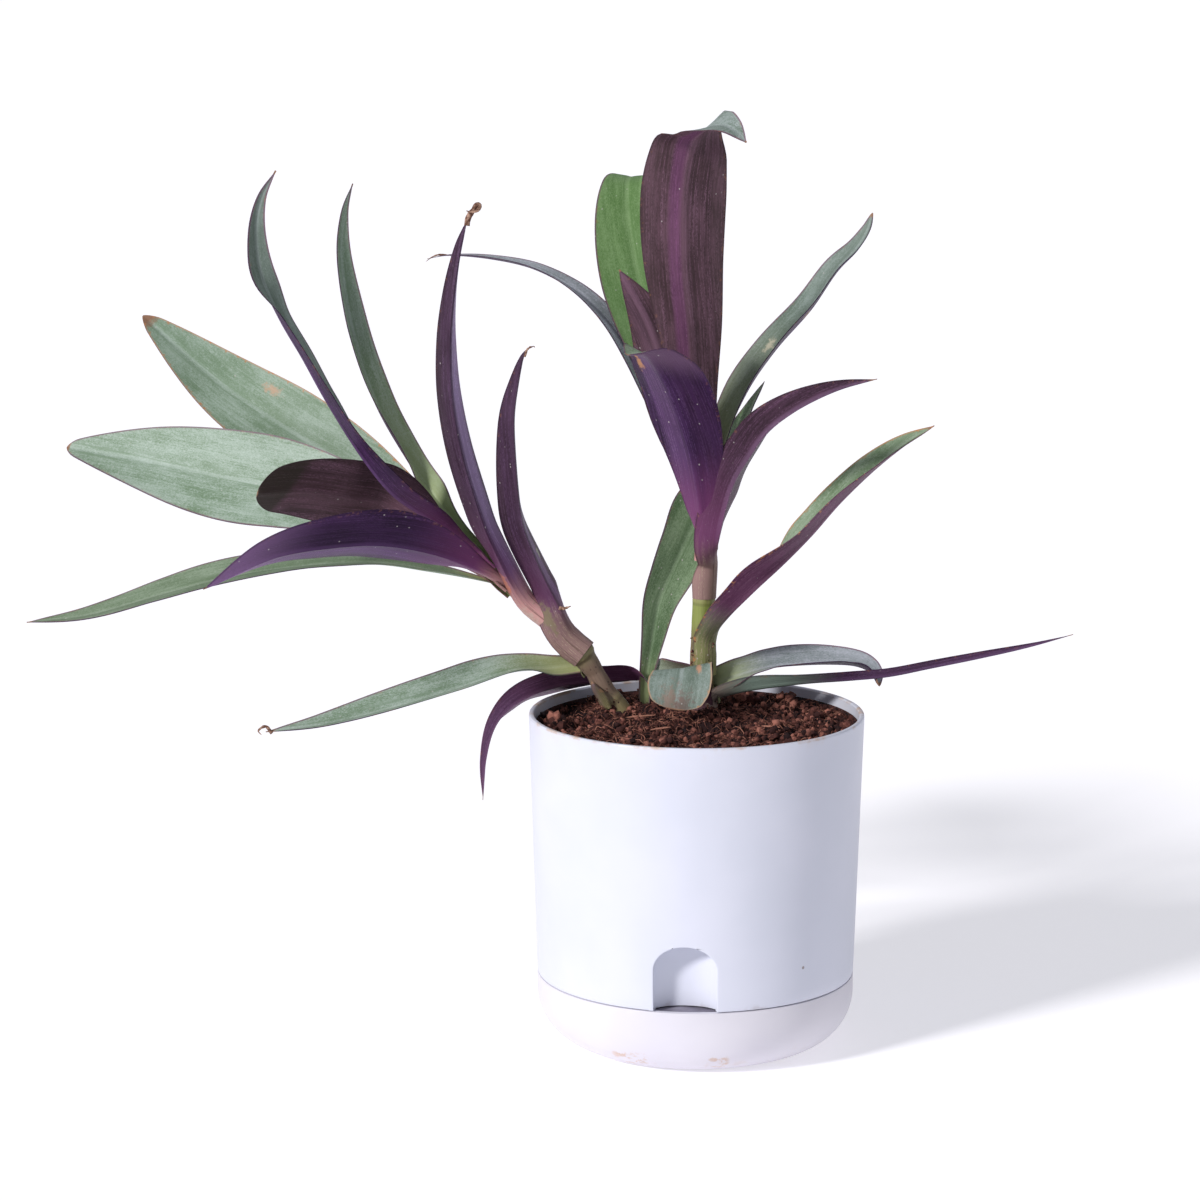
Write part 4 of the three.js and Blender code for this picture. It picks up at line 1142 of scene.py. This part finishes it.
# %% The green upper face
def upper_finish(name, leaf, seed):
    f = Finish(name + "_upper", Specular_IOR_Level=0.25)
    along, across, margin, to_tip, veins, speckle, patches = leaf_marks(f, seed)
    dark, middle, light = GREENS[leaf.get("green", "sage")]
    f.start(dark, middle, rise(f, veins * 0.35 + speckle * 0.4 + patches * 0.4, 0.44, 0.72))
    silver = rise(f, speckle * 0.6 + patches * 0.4 + veins * 0.2, 0.44, 0.80)
    f.lay(light, silver * leaf.get("silver", 0.7))
    sheen = cloud(f, pack(f, across, along * 0.55, seed * 2.3), 1.1, 4, 0.75)
    f.lay(light, rise(f, sheen, 0.52, 0.66) * leaf.get("silver", 0.7) * 0.6)
    f.lay(dark, rise(f, 1 - sheen, 0.54, 0.68) * 0.35)
    rib = beside(f, across, 0.05, 1.1)
    f.lay(light, rib * 0.2)
    f.lay(dark, beside(f, across, 1.0, 16.0) * (1 - rib) * rise(f, veins, 0.46, 0.58) * 0.6)
    low, high, strength = leaf.get("shade", (0, 1, 0))
    if strength:
        shade = rise(f, along, low, low + 20) * fall(f, along - across * 2.5, high - 25, high + 10)
        f.lay((70, 76, 72), shade * strength)
    sheath = fall(f, along + veins * 8, leaf["clasp"] + 4, leaf["clasp"] + leaf.get("pale", 26))
    f.lay(BASES[leaf.get("base", "straw")], sheath * 0.8)
    rim = fall(f, margin + speckle * 0.4, 0.45, 0.95)
    f.lay(leaf.get("rim", (112, 78, 98)), rim * 0.8)
    dust = blemishes(f, leaf, along, across, margin, to_tip, seed)
    return f.seal(0.46 + speckle * 0.14 + dust * 0.3, veins * 0.6 + speckle * 0.4, 0.16, 0.7)


# %% The purple lower face
def lower_finish(name, leaf, seed):
    f = Finish(name + "_lower", Specular_IOR_Level=0.12)
    along, across, margin, to_tip, veins, speckle, patches = leaf_marks(f, seed + 0.5)
    dark, middle, light = PURPLES[leaf.get("purple", "plum")]
    f.start(dark, middle, rise(f, veins * 0.4 + speckle * 0.3 + patches * 0.45, 0.44, 0.72))
    lines = rise(f, cloud(f, pack(f, across * 2.4, along * 0.03, seed), 1.0, 1, 0.5), 0.50, 0.62)
    dotted = lines * rise(f, speckle, 0.40, 0.58)
    f.lay(light, dotted * leaf.get("stripes", 0.35))
    f.lay(light, beside(f, across, 0.1, 2.2) * leaf.get("keel", 0.35))
    # Some bands are the leaf's own stripes; the light bands of several leaves are painted light, brightening
    # a half of the blade that lies in shade.
    for off, wide, strength, band_tone in leaf.get("bands", ()):
        band = beside(f, (across - off) * (1 / wide), 0.05) * (0.55 + dotted * 0.45)
        f.lay(band_tone, band * strength)
    blush = fall(f, along + veins * 10, leaf["clasp"] + 6, leaf["clasp"] + 52)
    f.lay(BASES["magenta"], blush * leaf.get("blush", 0.5))
    # The end is painted light near the tip: a painted shadow on one leaf and a painted sheen on others.
    reach, end_shade_and_sheen_tone, strength, soft = leaf.get("end", (1, DRY, 0, 4))
    if strength:
        painted_end_shade_and_sheen = fall(f, to_tip + across * 0.5, reach, reach + soft)
        f.lay(end_shade_and_sheen_tone, painted_end_shade_and_sheen * strength)
    fresh_to = leaf.get("fresh", -40)
    fresh = fall(f, along + veins * 12, fresh_to, fresh_to + 24)
    f.lay(GREENS[leaf.get("green", "sage")][1], fresh)
    sheath = fall(f, along + veins * 10, leaf["clasp"], leaf["clasp"] + 20)
    f.lay(BASES[leaf.get("base", "rose")], sheath * leaf.get("bare", 0.85))
    scars = lines * rise(f, speckle, 0.46, 0.60) * sheath
    f.lay((182, 162, 142), scars * 0.7)
    f.lay((84, 62, 54), rise(f, veins, 0.52, 0.66) * sheath * 0.65)
    rim = fall(f, margin, 0.2, 0.8)
    f.lay(dark, rim * 0.5)
    dust = blemishes(f, leaf, along, across, margin, to_tip, seed)
    return f.seal(0.40 + speckle * 0.14 + dust * 0.3, veins * 0.5 + speckle * 0.3 + dotted * 0.3, 0.16, 0.8)


# %% [markdown]
# ## The leaves
#
# Each entry is one leaf. `clasp` says where its sheath holds the stem, `blade` how wide and folded it is,
# `route` the points its midrib passes, and `faces` the directions of its upper face at shares of its
# length. The rest are the looks that set it apart: its tones, its strengths from 0 to 1, and its marks in
# millimetres. A band has its place across, half its width, a strength and a tone; some bands are the leaf's
# own stripes, and the light bands of several leaves are painted light on a half of the blade in shade. A
# spot has its place along and across, its size and a tone. An end is painted light near the tip, a painted
# shadow on one leaf and a painted sheen on others, and has its reach, a tone, a strength and its softness.

# %% Short ways to write a leaf
def clasp(stem, low, high, side, layer, wrap, close=None):
    """Holds a stem between two marks, on one side, and wraps it by so many degrees to each hand."""
    held = dict(stem=stem, sheath=(low, high), clasp=high - low, side=side, layer=layer, wrap=wrap)
    return held if close is None else dict(held, close=close)


def blade(width, widest, fold, curl, tip=0.0):
    """A blade's width in mm, the share where it is widest, its fold and curl, and its tip's width share."""
    return dict(width=width, widest=widest, fold=fold, curl=curl, tip=tip)


# %% The leaves, one by one
LEAVES = {
    "left_leaf_right_upright": dict(
        clasp("left", 37.5, 45.5, (0.8, -0.6, 0.2), 3, 100, 158), **blade(20, 0.33, 60, 8),
        route=[(-48.5, 8, 149), (-52.5, 4, 158.5), (-55.5, 0, 167), (-58.5, -3, 176.5), (-60, -5, 186.5),
          (-61, -8, 204), (-61, -10, 216), (-59.5, -11, 226.5), (-57.5, -12, 235.5), (-55, -12, 239.5)],
        faces=[(0.2, -0.42, 0.9, 0.2), (0.5, -0.55, 0.83, 0.2), (0.8, -0.65, 0.75, 0.25),
          (1, -0.6, 0.75, 0.3)],
        purple="wine", base="brown",
        # The light band is the leaf's violet strip, made lighter to show through the shade of its half:
        # partly painted light.
        bands=[(-3.4, 3.4, 0.85, (156, 128, 176)), (-9.5, 3.4, 0.5, (84, 68, 72)), (8, 3, 0.4, (60, 50, 48))],
        spots=[(37, -6, 2.0, (176, 180, 156)), (14, 5, 4, (120, 112, 84))], dust=0.3, dry=3, blush=0.3,
        keel=0.1),
    "left_leaf_front_upright": dict(
        clasp("left", 38.5, 64.5, (-0.1, -0.95, -0.1), 2, 112, 158), **blade(20, 0.45, 59, 8, 0.08),
        route=[(-69.5, -3, 171), (-73.5, -6, 183), (-78.5, -10, 202.5), (-81.5, -12, 221.5),
          (-82, -12, 239.5), (-81, -11, 255), (-79, -9, 269.5), (-76.5, -8, 280.5)],
        faces=[(0.35, -0.25, 0.95, 0.3), (0.6, -0.24, 0.95, 0.2), (1, -0.4, 0.85, 0.3)],
        # The light band is the leaf's pale strip, made lighter to show through the shade of its half: partly
        # painted light.
        purple="wine", base="rose", bands=[(-5.0, 5.2, 0.9, (184, 156, 208)), (7, 4, 0.3, (70, 56, 62))],
        spots=[(33, 3, 4.0, (178, 106, 76)), (20, 2, 3.4, (184, 160, 150)), (13, 1, 1.6, (140, 142, 88))],
        dust=0.35, dry=2, blush=0.45, keel=0.1),
    "left_leaf_low_front_arched": dict(
        clasp("left", 60, 75, (-0.2, -0.95, -0.3), 1, 60), **blade(26, 0.5, 18, 12),
        route=[(-84, -7, 167), (-102, -22, 173.5), (-119, -36, 175), (-137, -48, 173), (-157, -60, 164.5)],
        faces=[(0.4, -0.3, 0.7, 0.6), (0.75, -0.35, 0.65, 0.65), (1, -0.6, 0.5, 0.6)],
        # The light band brightens the folded half that lies in shade, and the light end is a painted sheen:
        # painted light.
        purple="violet", base="rose", bands=[(5.0, 5.5, 0.6, (120, 82, 138)), (-4, 7, 0.65, (40, 22, 48))],
        end=(8, (136, 104, 146), 0.75, 34), blush=0.75, dust=0.12, dry=2),
    "left_leaf_low_long": dict(
        clasp("left", 64, 74, (-0.5, 0.1, -0.85), 1, 40), **blade(22, 0.45, 12, 6),
        route=[(-93, 16, 158.5), (-114, 18, 160.5), (-139, 20, 158.5), (-164, 22, 154), (-189, 24, 147),
          (-215, 26, 139), (-238, 28, 135.5)],
        faces=[(0.4, 0.05, -0.2, 1), (0.7, -0.15, -0.35, 0.9), (1, -0.2, -0.4, 0.88)],
        green="sage", purple="violet", base="straw", silver=0.45, dry=3, fresh=50, shade=(0, 230, 0.14)),
    "left_leaf_twisted": dict(
        clasp("left", 78, 86, (-0.3, -0.95, 0.2), 1, 60), **blade(19, 0.3, 16, 8),
        route=[(-91.5, 4, 178), (-103.5, 0, 187.5), (-113.5, -3, 201), (-124, -6, 219), (-132, -8, 234.5),
          (-139.5, -8, 247.5), (-145.5, -8, 261), (-147.5, -7, 275), (-146, -5, 287), (-141, -4, 296.5)],
        faces=[(0.25, 0.75, 0.5, 0.4), (0.5, 0.88, 0.15, 0.4), (0.68, 0.95, 0, 0.3),
          (0.82, 0.5, -0.85, 0.2), (1, 0.3, -0.9, 0.1)],
        green="grey", shade=(120, 220, 0.22), purple="violet", silver=0.2, base="magenta", dry=2,
        blush=0.6),
    "left_leaf_short_front": dict(
        clasp("left", 70, 80, (-0.9, -0.2, -0.1), 1, 45), **blade(29, 0.55, 5, 8, 0.45),
        route=[(-106, 16, 180), (-120.5, 6, 185.5), (-134.5, -5, 189), (-147, -16, 189.5)],
        faces=[(0.4, -0.2, 0.88, 0.4), (1, -0.35, 0.85, 0.4)],
        # The dark end is a painted shadow over the tip; the broad band lifts the blade's shaded middle as
        # painted light.
        purple="umber", stripes=0.6, dry=0.4, end=(11, (54, 48, 42), 0.85, 4), blush=0.3, keel=0.05,
        bitten=0.0, bands=[(1, 9, 0.45, (102, 72, 82))]),
    "left_leaf_wide": dict(
        clasp("left", 68, 78, (-0.5, 0.6, -0.6), 2, 55), **blade(36, 0.6, 10, 8, 0.12),
        route=[(-94.5, 26, 165.5), (-122.5, 42, 175.5), (-148, 54, 180), (-173.5, 62, 183),
          (-201.5, 70, 187), (-233.5, 76, 191)],
        faces=[(0.4, 0.2, -0.85, 0.45), (0.7, 0.2, -0.9, 0.4), (1, 0.1, -0.8, 0.6)],
        green="silver", silver=0.65, round=4, purple="violet", dry=2),
    "left_leaf_upper_back": dict(
        clasp("left", 74, 83, (-0.5, 0.8, 0), 1, 50), **blade(31, 0.6, 10, 6, 0.12),
        route=[(-97, 38, 173), (-122, 57, 185), (-149, 72, 197.5), (-178.5, 84, 214), (-207.5, 90, 237.5)],
        faces=[(0.4, 0.15, -0.85, 0.45), (0.7, 0.1, -0.85, 0.5), (1, 0.1, -0.75, 0.6)],
        green="silver", silver=0.4, round=6, rim=(176, 142, 118), dry=7, bitten=1.0,
        spots=[(128, 9, 3.0, (188, 150, 122)), (72, -11, 2.4, (206, 150, 106))]),
    "left_leaf_back_upright": dict(
        clasp("left", 76, 86, (0.3, 0.9, 0.3), 2, 60), **blade(15, 0.45, 26, 10),
        route=[(-91, 28, 180), (-104, 38, 194.5), (-116, 46, 213), (-124.5, 52, 235.5), (-129, 56, 260.5),
          (-128.5, 58, 277), (-125, 58, 288)],
        faces=[(0.4, 0.9, -0.4, 0.2), (0.7, 0.8, -0.55, 0.1), (1, 0.6, -0.75, 0.1)],
        green="silver", silver=0.5, shade=(85, 125, 0.25), spots=[(78, -5, 1.6, (164, 118, 72))],
        base="pale", pale=110, dry=1.5),
    "left_leaf_lowest": dict(
        clasp("left", 28, 32.5, (-0.6, 0.75, -0.3), 1, 48), **blade(18, 0.4, 24, 10),
        route=[(-52, 15.5, 125), (-64.5, 9, 125), (-84.5, 1, 119.5), (-107.5, -6, 113.5),
          (-127.5, -12, 109.5), (-145, -18, 108)],
        faces=[(0.25, 0, -0.3, 0.95), (0.6, -0.1, -0.4, 0.9), (1, -0.2, -0.5, 0.85)],
        green="silver", silver=0.8, base="straw", pale=40, purple="violet", dry=5, dust=0.25, fresh=60,
        blush=0.0),
    "right_leaf_right_spread": dict(
        clasp("right", 25, 38, (0.7, -0.7, 0), 1, 75), **blade(22, 0.5, 24, 10),
        route=[(9, 12, 144), (18.5, 8, 154.5), (28.5, 6, 164.5), (38, 6, 174.5), (47.5, 8, 185.5),
          (58.5, 12, 196), (68.5, 16, 204), (79, 18, 210.5)],
        faces=[(0.3, -0.7, 0.5, 0.5), (0.55, -0.75, -0.1, 0.65), (1, -0.5, -0.6, 0.65)],
        green="sage", silver=0.5, purple="rose", base="olive", fresh=14, rim=(170, 130, 96), dry=4,
        dust=0.25, blush=0.25, bitten=0.9),
    "right_leaf_front_bent": dict(
        clasp("right", 57, 70, (-0.25, -0.97, 0), 1, 82), **blade(28, 0.74, 12, 10, 0.24),
        route=[(0.2, 6, 186.5), (-2.5, -4, 205), (-8, -16, 224.5), (-14.5, -28, 238.5), (-21, -37, 240)],
        faces=[(0.5, 0.2, 0.9, 0.3), (0.78, 0.3, 0.7, 0.7), (0.9, 0.15, 0.2, 0.95), (1, -0.1, -0.35, 0.93)],
        purple="violet", base="magenta", bands=[(5, 5, 0.55, (122, 90, 134)), (-7, 6, 0.5, (58, 34, 58))],
        blush=1.0, dust=0.16, dry=0.8, round=9, spots=[(94, 8, 2.6, (192, 138, 88))], keel=0.1,
        # The light end near the tip is a painted sheen.
        end=(10, (122, 94, 120), 0.6, 14)),
    "right_leaf_right_arched": dict(
        clasp("right", 53.4, 66, (0.9, -0.45, 0), 2, 95, 158), **blade(20, 0.4, 45, 10),
        route=[(6, 11, 169.5), (8.5, 6, 181), (12, 0, 192.5), (17.5, -6, 202.5), (23.5, -11, 211.5),
          (31.5, -15, 218.5), (40.5, -18, 224), (49.5, -20, 228), (60, -22, 231)],
        faces=[(0.35, -0.35, 0.87, 0.35), (0.7, -0.3, 0.75, 0.6), (1, -0.3, 0.2, 0.93)],
        purple="dusk", stripes=0.4, base="brown", dry=4, bands=[(0, 1.4, 0.4, (126, 98, 128))], dust=0.16,
        blush=0.6),
    "right_leaf_front_tall": dict(
        clasp("right", 72, 85, (0, -1, 0), 1, 85), **blade(29.5, 0.7, 10, 8),
        route=[(1, 13, 195), (-1.5, 9, 219.5), (-3, 5, 243.5), (-5, 1, 267.5), (-4.5, -4, 290),
          (-2, -8, 305.5), (1.5, -13, 310.5), (6.5, -19, 313), (12, -25, 312.5), (17, -28, 308)],
        faces=[(0.4, -0.1, 0.95, 0.1), (0.79, -0.15, 0.95, 0.15), (0.865, -0.5, 0.15, 0.85),
          (0.93, -0.35, -0.35, 0.87), (1, -0.3, -0.5, 0.8)],
        green="grey", purple="umber", stripes=0.4, dry=1, dust=0.05, blush=1.0, keel=0.2,
        bands=[(3.0, 2.8, 0.6, (120, 66, 114)), (-13, 5, 0.35, (84, 70, 70)), (12, 4, 0.35, (74, 60, 62))]),
    "right_leaf_small_side": dict(
        clasp("right", 66, 78, (-0.9, -0.3, 0), 2, 45), **blade(25, 0.5, 8, 6),
        route=[(-4, 18, 201), (-10.5, 14, 224), (-17, 10, 244.5), (-27, 6, 263.5)],
        faces=[(0.4, 0.3, 0.93, 0.15), (1, 0.3, 0.93, 0.15)],
        purple="umber", stripes=0.4, dry=1.2, bands=[(2, 5, 0.3, (112, 82, 106))]),
    "right_leaf_right_back": dict(
        clasp("right", 70, 82, (0.7, 0.7, 0), 2, 55), **blade(19, 0.45, 22, 10, 0.2),
        route=[(6, 34, 198.5), (13.5, 40, 217.5), (23.5, 46, 232.5), (35.5, 54, 246), (44, 59, 258.5),
          (51, 62, 266), (55, 64, 272.5), (56.5, 65, 278.5)],
        faces=[(0.4, -0.75, -0.45, 0.5), (0.7, -0.75, -0.4, 0.5), (1, -0.7, -0.6, 0.4)],
        green="grey", silver=0.3, purple="violet", dry=2.5, base="olive", pale=90,
        spots=[(76, -3, 2.6, (190, 182, 160)), (92, 2, 2.0, (172, 140, 110))]),
    "right_leaf_left_arched": dict(
        clasp("right", 72, 84, (-0.8, 0.6, 0), 2, 50), **blade(14, 0.25, 12, 6),
        route=[(-12, 34, 205.5), (-26, 40, 231), (-35, 44, 243), (-46, 48, 252.5), (-60.5, 52, 259.5),
          (-76.5, 56, 262.5), (-91, 60, 263), (-99.5, 62, 261.5)],
        faces=[(0.35, 0.6, -0.5, 0.6), (0.6, 0.15, -0.15, 0.97), (1, -0.1, 0, 1)],
        green="steel", silver=1.0, purple="violet", dry=3),
    "right_leaf_back_tall": dict(
        clasp("right", 74, 88, (-0.3, 0.95, 0), 1, 70), **blade(28, 0.6, 6, 5),
        route=[(-5.5, 34, 202.5), (-14.5, 42, 229), (-23, 50, 252.5), (-28, 58, 274), (-29.5, 68, 287),
          (-29, 80, 289.5), (-28.5, 92, 285)],
        faces=[(0.4, 0.3, -0.9, 0.2), (0.7, 0.1, -0.7, 0.6), (1, 0, 0.2, 0.95)],
        green="bright", silver=0.4, purple="plum", dry=1.2, dust=0.2),
    "right_leaf_from_soil": dict(
        blade(20, 0.6, 8, 8, 0.15), start=4, clasp=6,
        route=[(-20.5, 24.5, 103), (-20, 25.5, 109.5), (-19.5, 27, 119), (-17.5, 30, 132.5),
          (-15.5, 34, 145), (-11.5, 38, 155), (-6.5, 42, 166), (5.5, 46, 192), (20, 50, 221)],
        faces=[(0, 0.4, -0.9, 0.1), (0.5, 0.35, -0.93, 0.15), (0.75, -0.85, -0.5, 0.2),
          (1, -0.95, -0.25, 0.15)],
        green="leaf", silver=0.75, purple="violet", base="pale", dry=1, dust=0.4),
    "right_leaf_drooping": dict(
        clasp("right", 13, 20, (-0.8, 0.6, 0), 1, 80), **blade(15, 0.5, 14, 10),
        route=[(-13, 27, 119.5), (-31, 29, 118.5), (-48.5, 23.5, 117.5), (-61, 9.5, 115), (-68.5, -1, 109),
          (-71.5, -7, 98), (-72, -10, 84)],
        faces=[(0.3, 0, 0.6, 0.8), (0.52, -0.3, 0.7, 0.6), (0.75, -0.93, 0.2, 0.3), (1, -0.97, 0.1, 0.1)],
        purple="rose", base="shaded", stripes=0.4, blush=0.4, dry=3,
        # The two light bands brighten a blade that lies in shade: painted light.
        bands=[(-3, 6, 0.5, (130, 90, 132)), (6, 6, 0.4, (118, 82, 120))]),
    "right_leaf_cut": dict(
        clasp("right", 12, 16, (-0.2, -1, 0), 1, 60), **blade(22, 0.8, 1, 4, 0.6),
        route=[(-2, 14, 118.5), (-2.5, 7, 121.5), (-4.5, 0, 129), (-5, -5, 126.5), (-6, -8.5, 120.5),
          (-6.5, -9.5, 116.5)],
        faces=[(0.4, -0.12, -0.5, 0.9), (0.6, -0.22, -0.2, 0.96), (0.76, -0.14, -0.9, 0.4),
          (1, -0.05, -0.97, 0.25)],
        green="grey", silver=0.25, purple="dusk", base="shaded", round=3.0, dry=0.8, rim=(178, 148, 120),
        bitten=1.0,
        spots=[(44, 2.5, 6.0, (140, 116, 104)), (44.5, -2.5, 5.6, (104, 82, 76)),
          (30, -6, 1.6, (190, 138, 106))]),
    "right_leaf_low_arched": dict(
        clasp("right", 15, 21, (0.9, 0.43, 0), 2, 50), **blade(17, 0.5, 22, 10, 0.3),
        route=[(13.5, 24, 122), (24, 27, 124.5), (34, 28, 125.5), (44.5, 28, 126), (53, 26, 126),
          (58.5, 22, 124.5), (61.5, 17, 120.5)],
        faces=[(0.4, -0.1, -0.3, 0.95), (0.8, 0.1, -0.2, 0.95), (1, 0.6, 0.2, 0.7)],
        green="steel", silver=0.6, purple="violet", base="pale", dry=3, dust=0.15),
    "right_leaf_low_long": dict(
        clasp("right", 12, 16, (1, -0.2, 0), 1, 60), **blade(9, 0.35, 26, 10),
        route=[(15.5, 20, 117.5), (34.5, 20, 120.5), (51.5, 18, 122.5), (65, 16, 124.5), (79, 14, 128),
          (95.5, 10, 132.5), (112.5, 6, 137.5), (126.5, 2, 142.5)],
        faces=[(0.3, -0.1, 0.3, 0.9), (1, -0.15, 0.4, 0.9)],
        green="grey", purple="plum", base="brown", dry=3, blush=0.1, fresh=34),
}

# %% Grow the leaves
ROOF = cad_box[1][2] / MM - 0.02


def grow_leaf(name, leaf, seed, finish_name):
    """A leaf's two faces and its finishes, kept under the top of the CAD model's box."""
    grid, marks, line = leaf_grid(leaf, seed)
    grid = [(x, y, min(z, ROOF)) for x, y, z in grid]
    finishes = [upper_finish(finish_name, leaf, seed), lower_finish(finish_name, leaf, seed)]
    print(finish_name, round(line.length), "mm long")
    return piece(name, grid, GRID_FACES, finishes, 50, marks, GRID_SLOTS)


for seed, (name, leaf) in enumerate(LEAVES.items(), 1):
    settle(grow_leaf(name + "_blade", leaf, seed, name), "leaf", name)

# %% The old leaf base at the left stem's foot
OLD_BASE = dict(
    blade(6.0, 0.35, 30, 30, 0.2), start=5, clasp=0,
    route=[(-32, 11, 111.5), (-34.2, 11, 115.5), (-36.2, 11, 119), (-37, 11.5, 121.5)],
    faces=[(0, 0.75, 0.65, 0.2), (1, 0.8, 0.55, 0.2)], round=2, waves=0.2, green="sage", base="olive",
    pale=60, rim=(160, 96, 58), dry=1.5, silver=0.0, purple="umber", stripes=0.2, blush=0.0, bare=0.8)
OLD_BASE_SEED = 40
settle(grow_leaf("old_leaf_base", OLD_BASE, OLD_BASE_SEED, "old_leaf_base"), "leaf")

# %% [markdown]
# ## Dried ends and old stubs
#
# The oldest leaves end in brown, curled threads, and a torn leaf base still stands at a stem's foot. The
# threads are thin tubes that shrink to their ends; bits of soil cling to the stalks.

# %% Curled threads and a dry stub
def dry_finish():
    f = Finish("dried_leaf", Specular_IOR_Level=0.2)
    here = place(f)
    grain = cloud(f, here, 700, 3, 0.6)
    f.start((92, 62, 50), (172, 140, 122), rise(f, grain, 0.4, 0.65))
    return f.seal(0.7 + grain * 0.2, grain, 0.3, 0.8)


def thread(name, thick, flat, route):
    line = SmoothLine(route)
    rows, columns = 40, 8
    points = []
    for i in range(rows + 1):
        share = i / rows
        ahead = line.heading(share)
        side = ahead.cross(Vector((0.2, -1, 0.1))).normalized()
        over = side.cross(ahead)
        radius = thick * (1 - 0.85 * share ** 2) * (1 + 0.25 * wander(share * 9, 1, 2))
        for j in range(columns):
            angle = tau * j / columns
            middle = line.point(share) + side * cos(angle) * radius
            points.append(middle + over * sin(angle) * radius * flat)
    settle(piece(name, points, tube_faces(rows, columns), [dried], 60), "leaf")


dried = dry_finish()
THREADS = {
    "front_leaf_curl": (1.0, 0.5, [
        (-76.5, -8.0, 279.0), (-76.0, -8.0, 281.5), (-74.5, -8.0, 284.0), (-73.0, -8.0, 286.0),
        (-72.0, -8.0, 285.5), (-73.0, -9.0, 284.0), (-75.0, -9.0, 283.5), (-76.5, -9.0, 284.0)]),
    "left_arch_hook": (0.35, 0.6, [(-92.5, 61, 263), (-95.5, 61.5, 263), (-98, 62, 262), (-100, 62, 260.5)]),
    "lowest_leaf_curl": (0.6, 0.5, [
        (-143, -17.5, 107.5), (-145, -18, 110), (-147.5, -18, 108.5), (-146.5, -18, 107)]),
    "right_upright_hook": (0.45, 0.6, [
        (-57, -12, 236), (-56, -12, 238.5), (-54, -12, 239.5), (-53.5, -12, 239)]),
    "dry_stub": (0.7, 0.6, [(-49, 9, 147.5), (-46, 8, 147.5), (-43.5, 7, 148.5)]),
}
for name, (thick, flat, route) in THREADS.items():
    thread(name, thick, flat, route)
print("dried threads:", len(THREADS))

# %% Soil that clings to stalks
BITS = [
    (-20, 30, 135), (-20, 30, 132.5), (-19.5, 28.5, 127.5), (-2.8, 17, 135.5), (-2.5, 17, 131.5),
    (-3, 17, 127), (5, 17, 139), (4.5, 16, 134), (3, 16, 127.5), (-35, 12.5, 115), (-33.5, 13, 112),
    (-29, 12.5, 115), (-32, 12, 118), (-21.5, 26, 115.5), (-18, 25, 116),
]
chance, heap = random.Random(5), Heap()
for middle in BITS:
    for _ in range(3):
        off = any_way(chance, 0.5)
        lump(heap, chance, Vector(middle) + off, chance.uniform(0.25, 0.6))
heap.settle("clinging_soil", coir, 60)
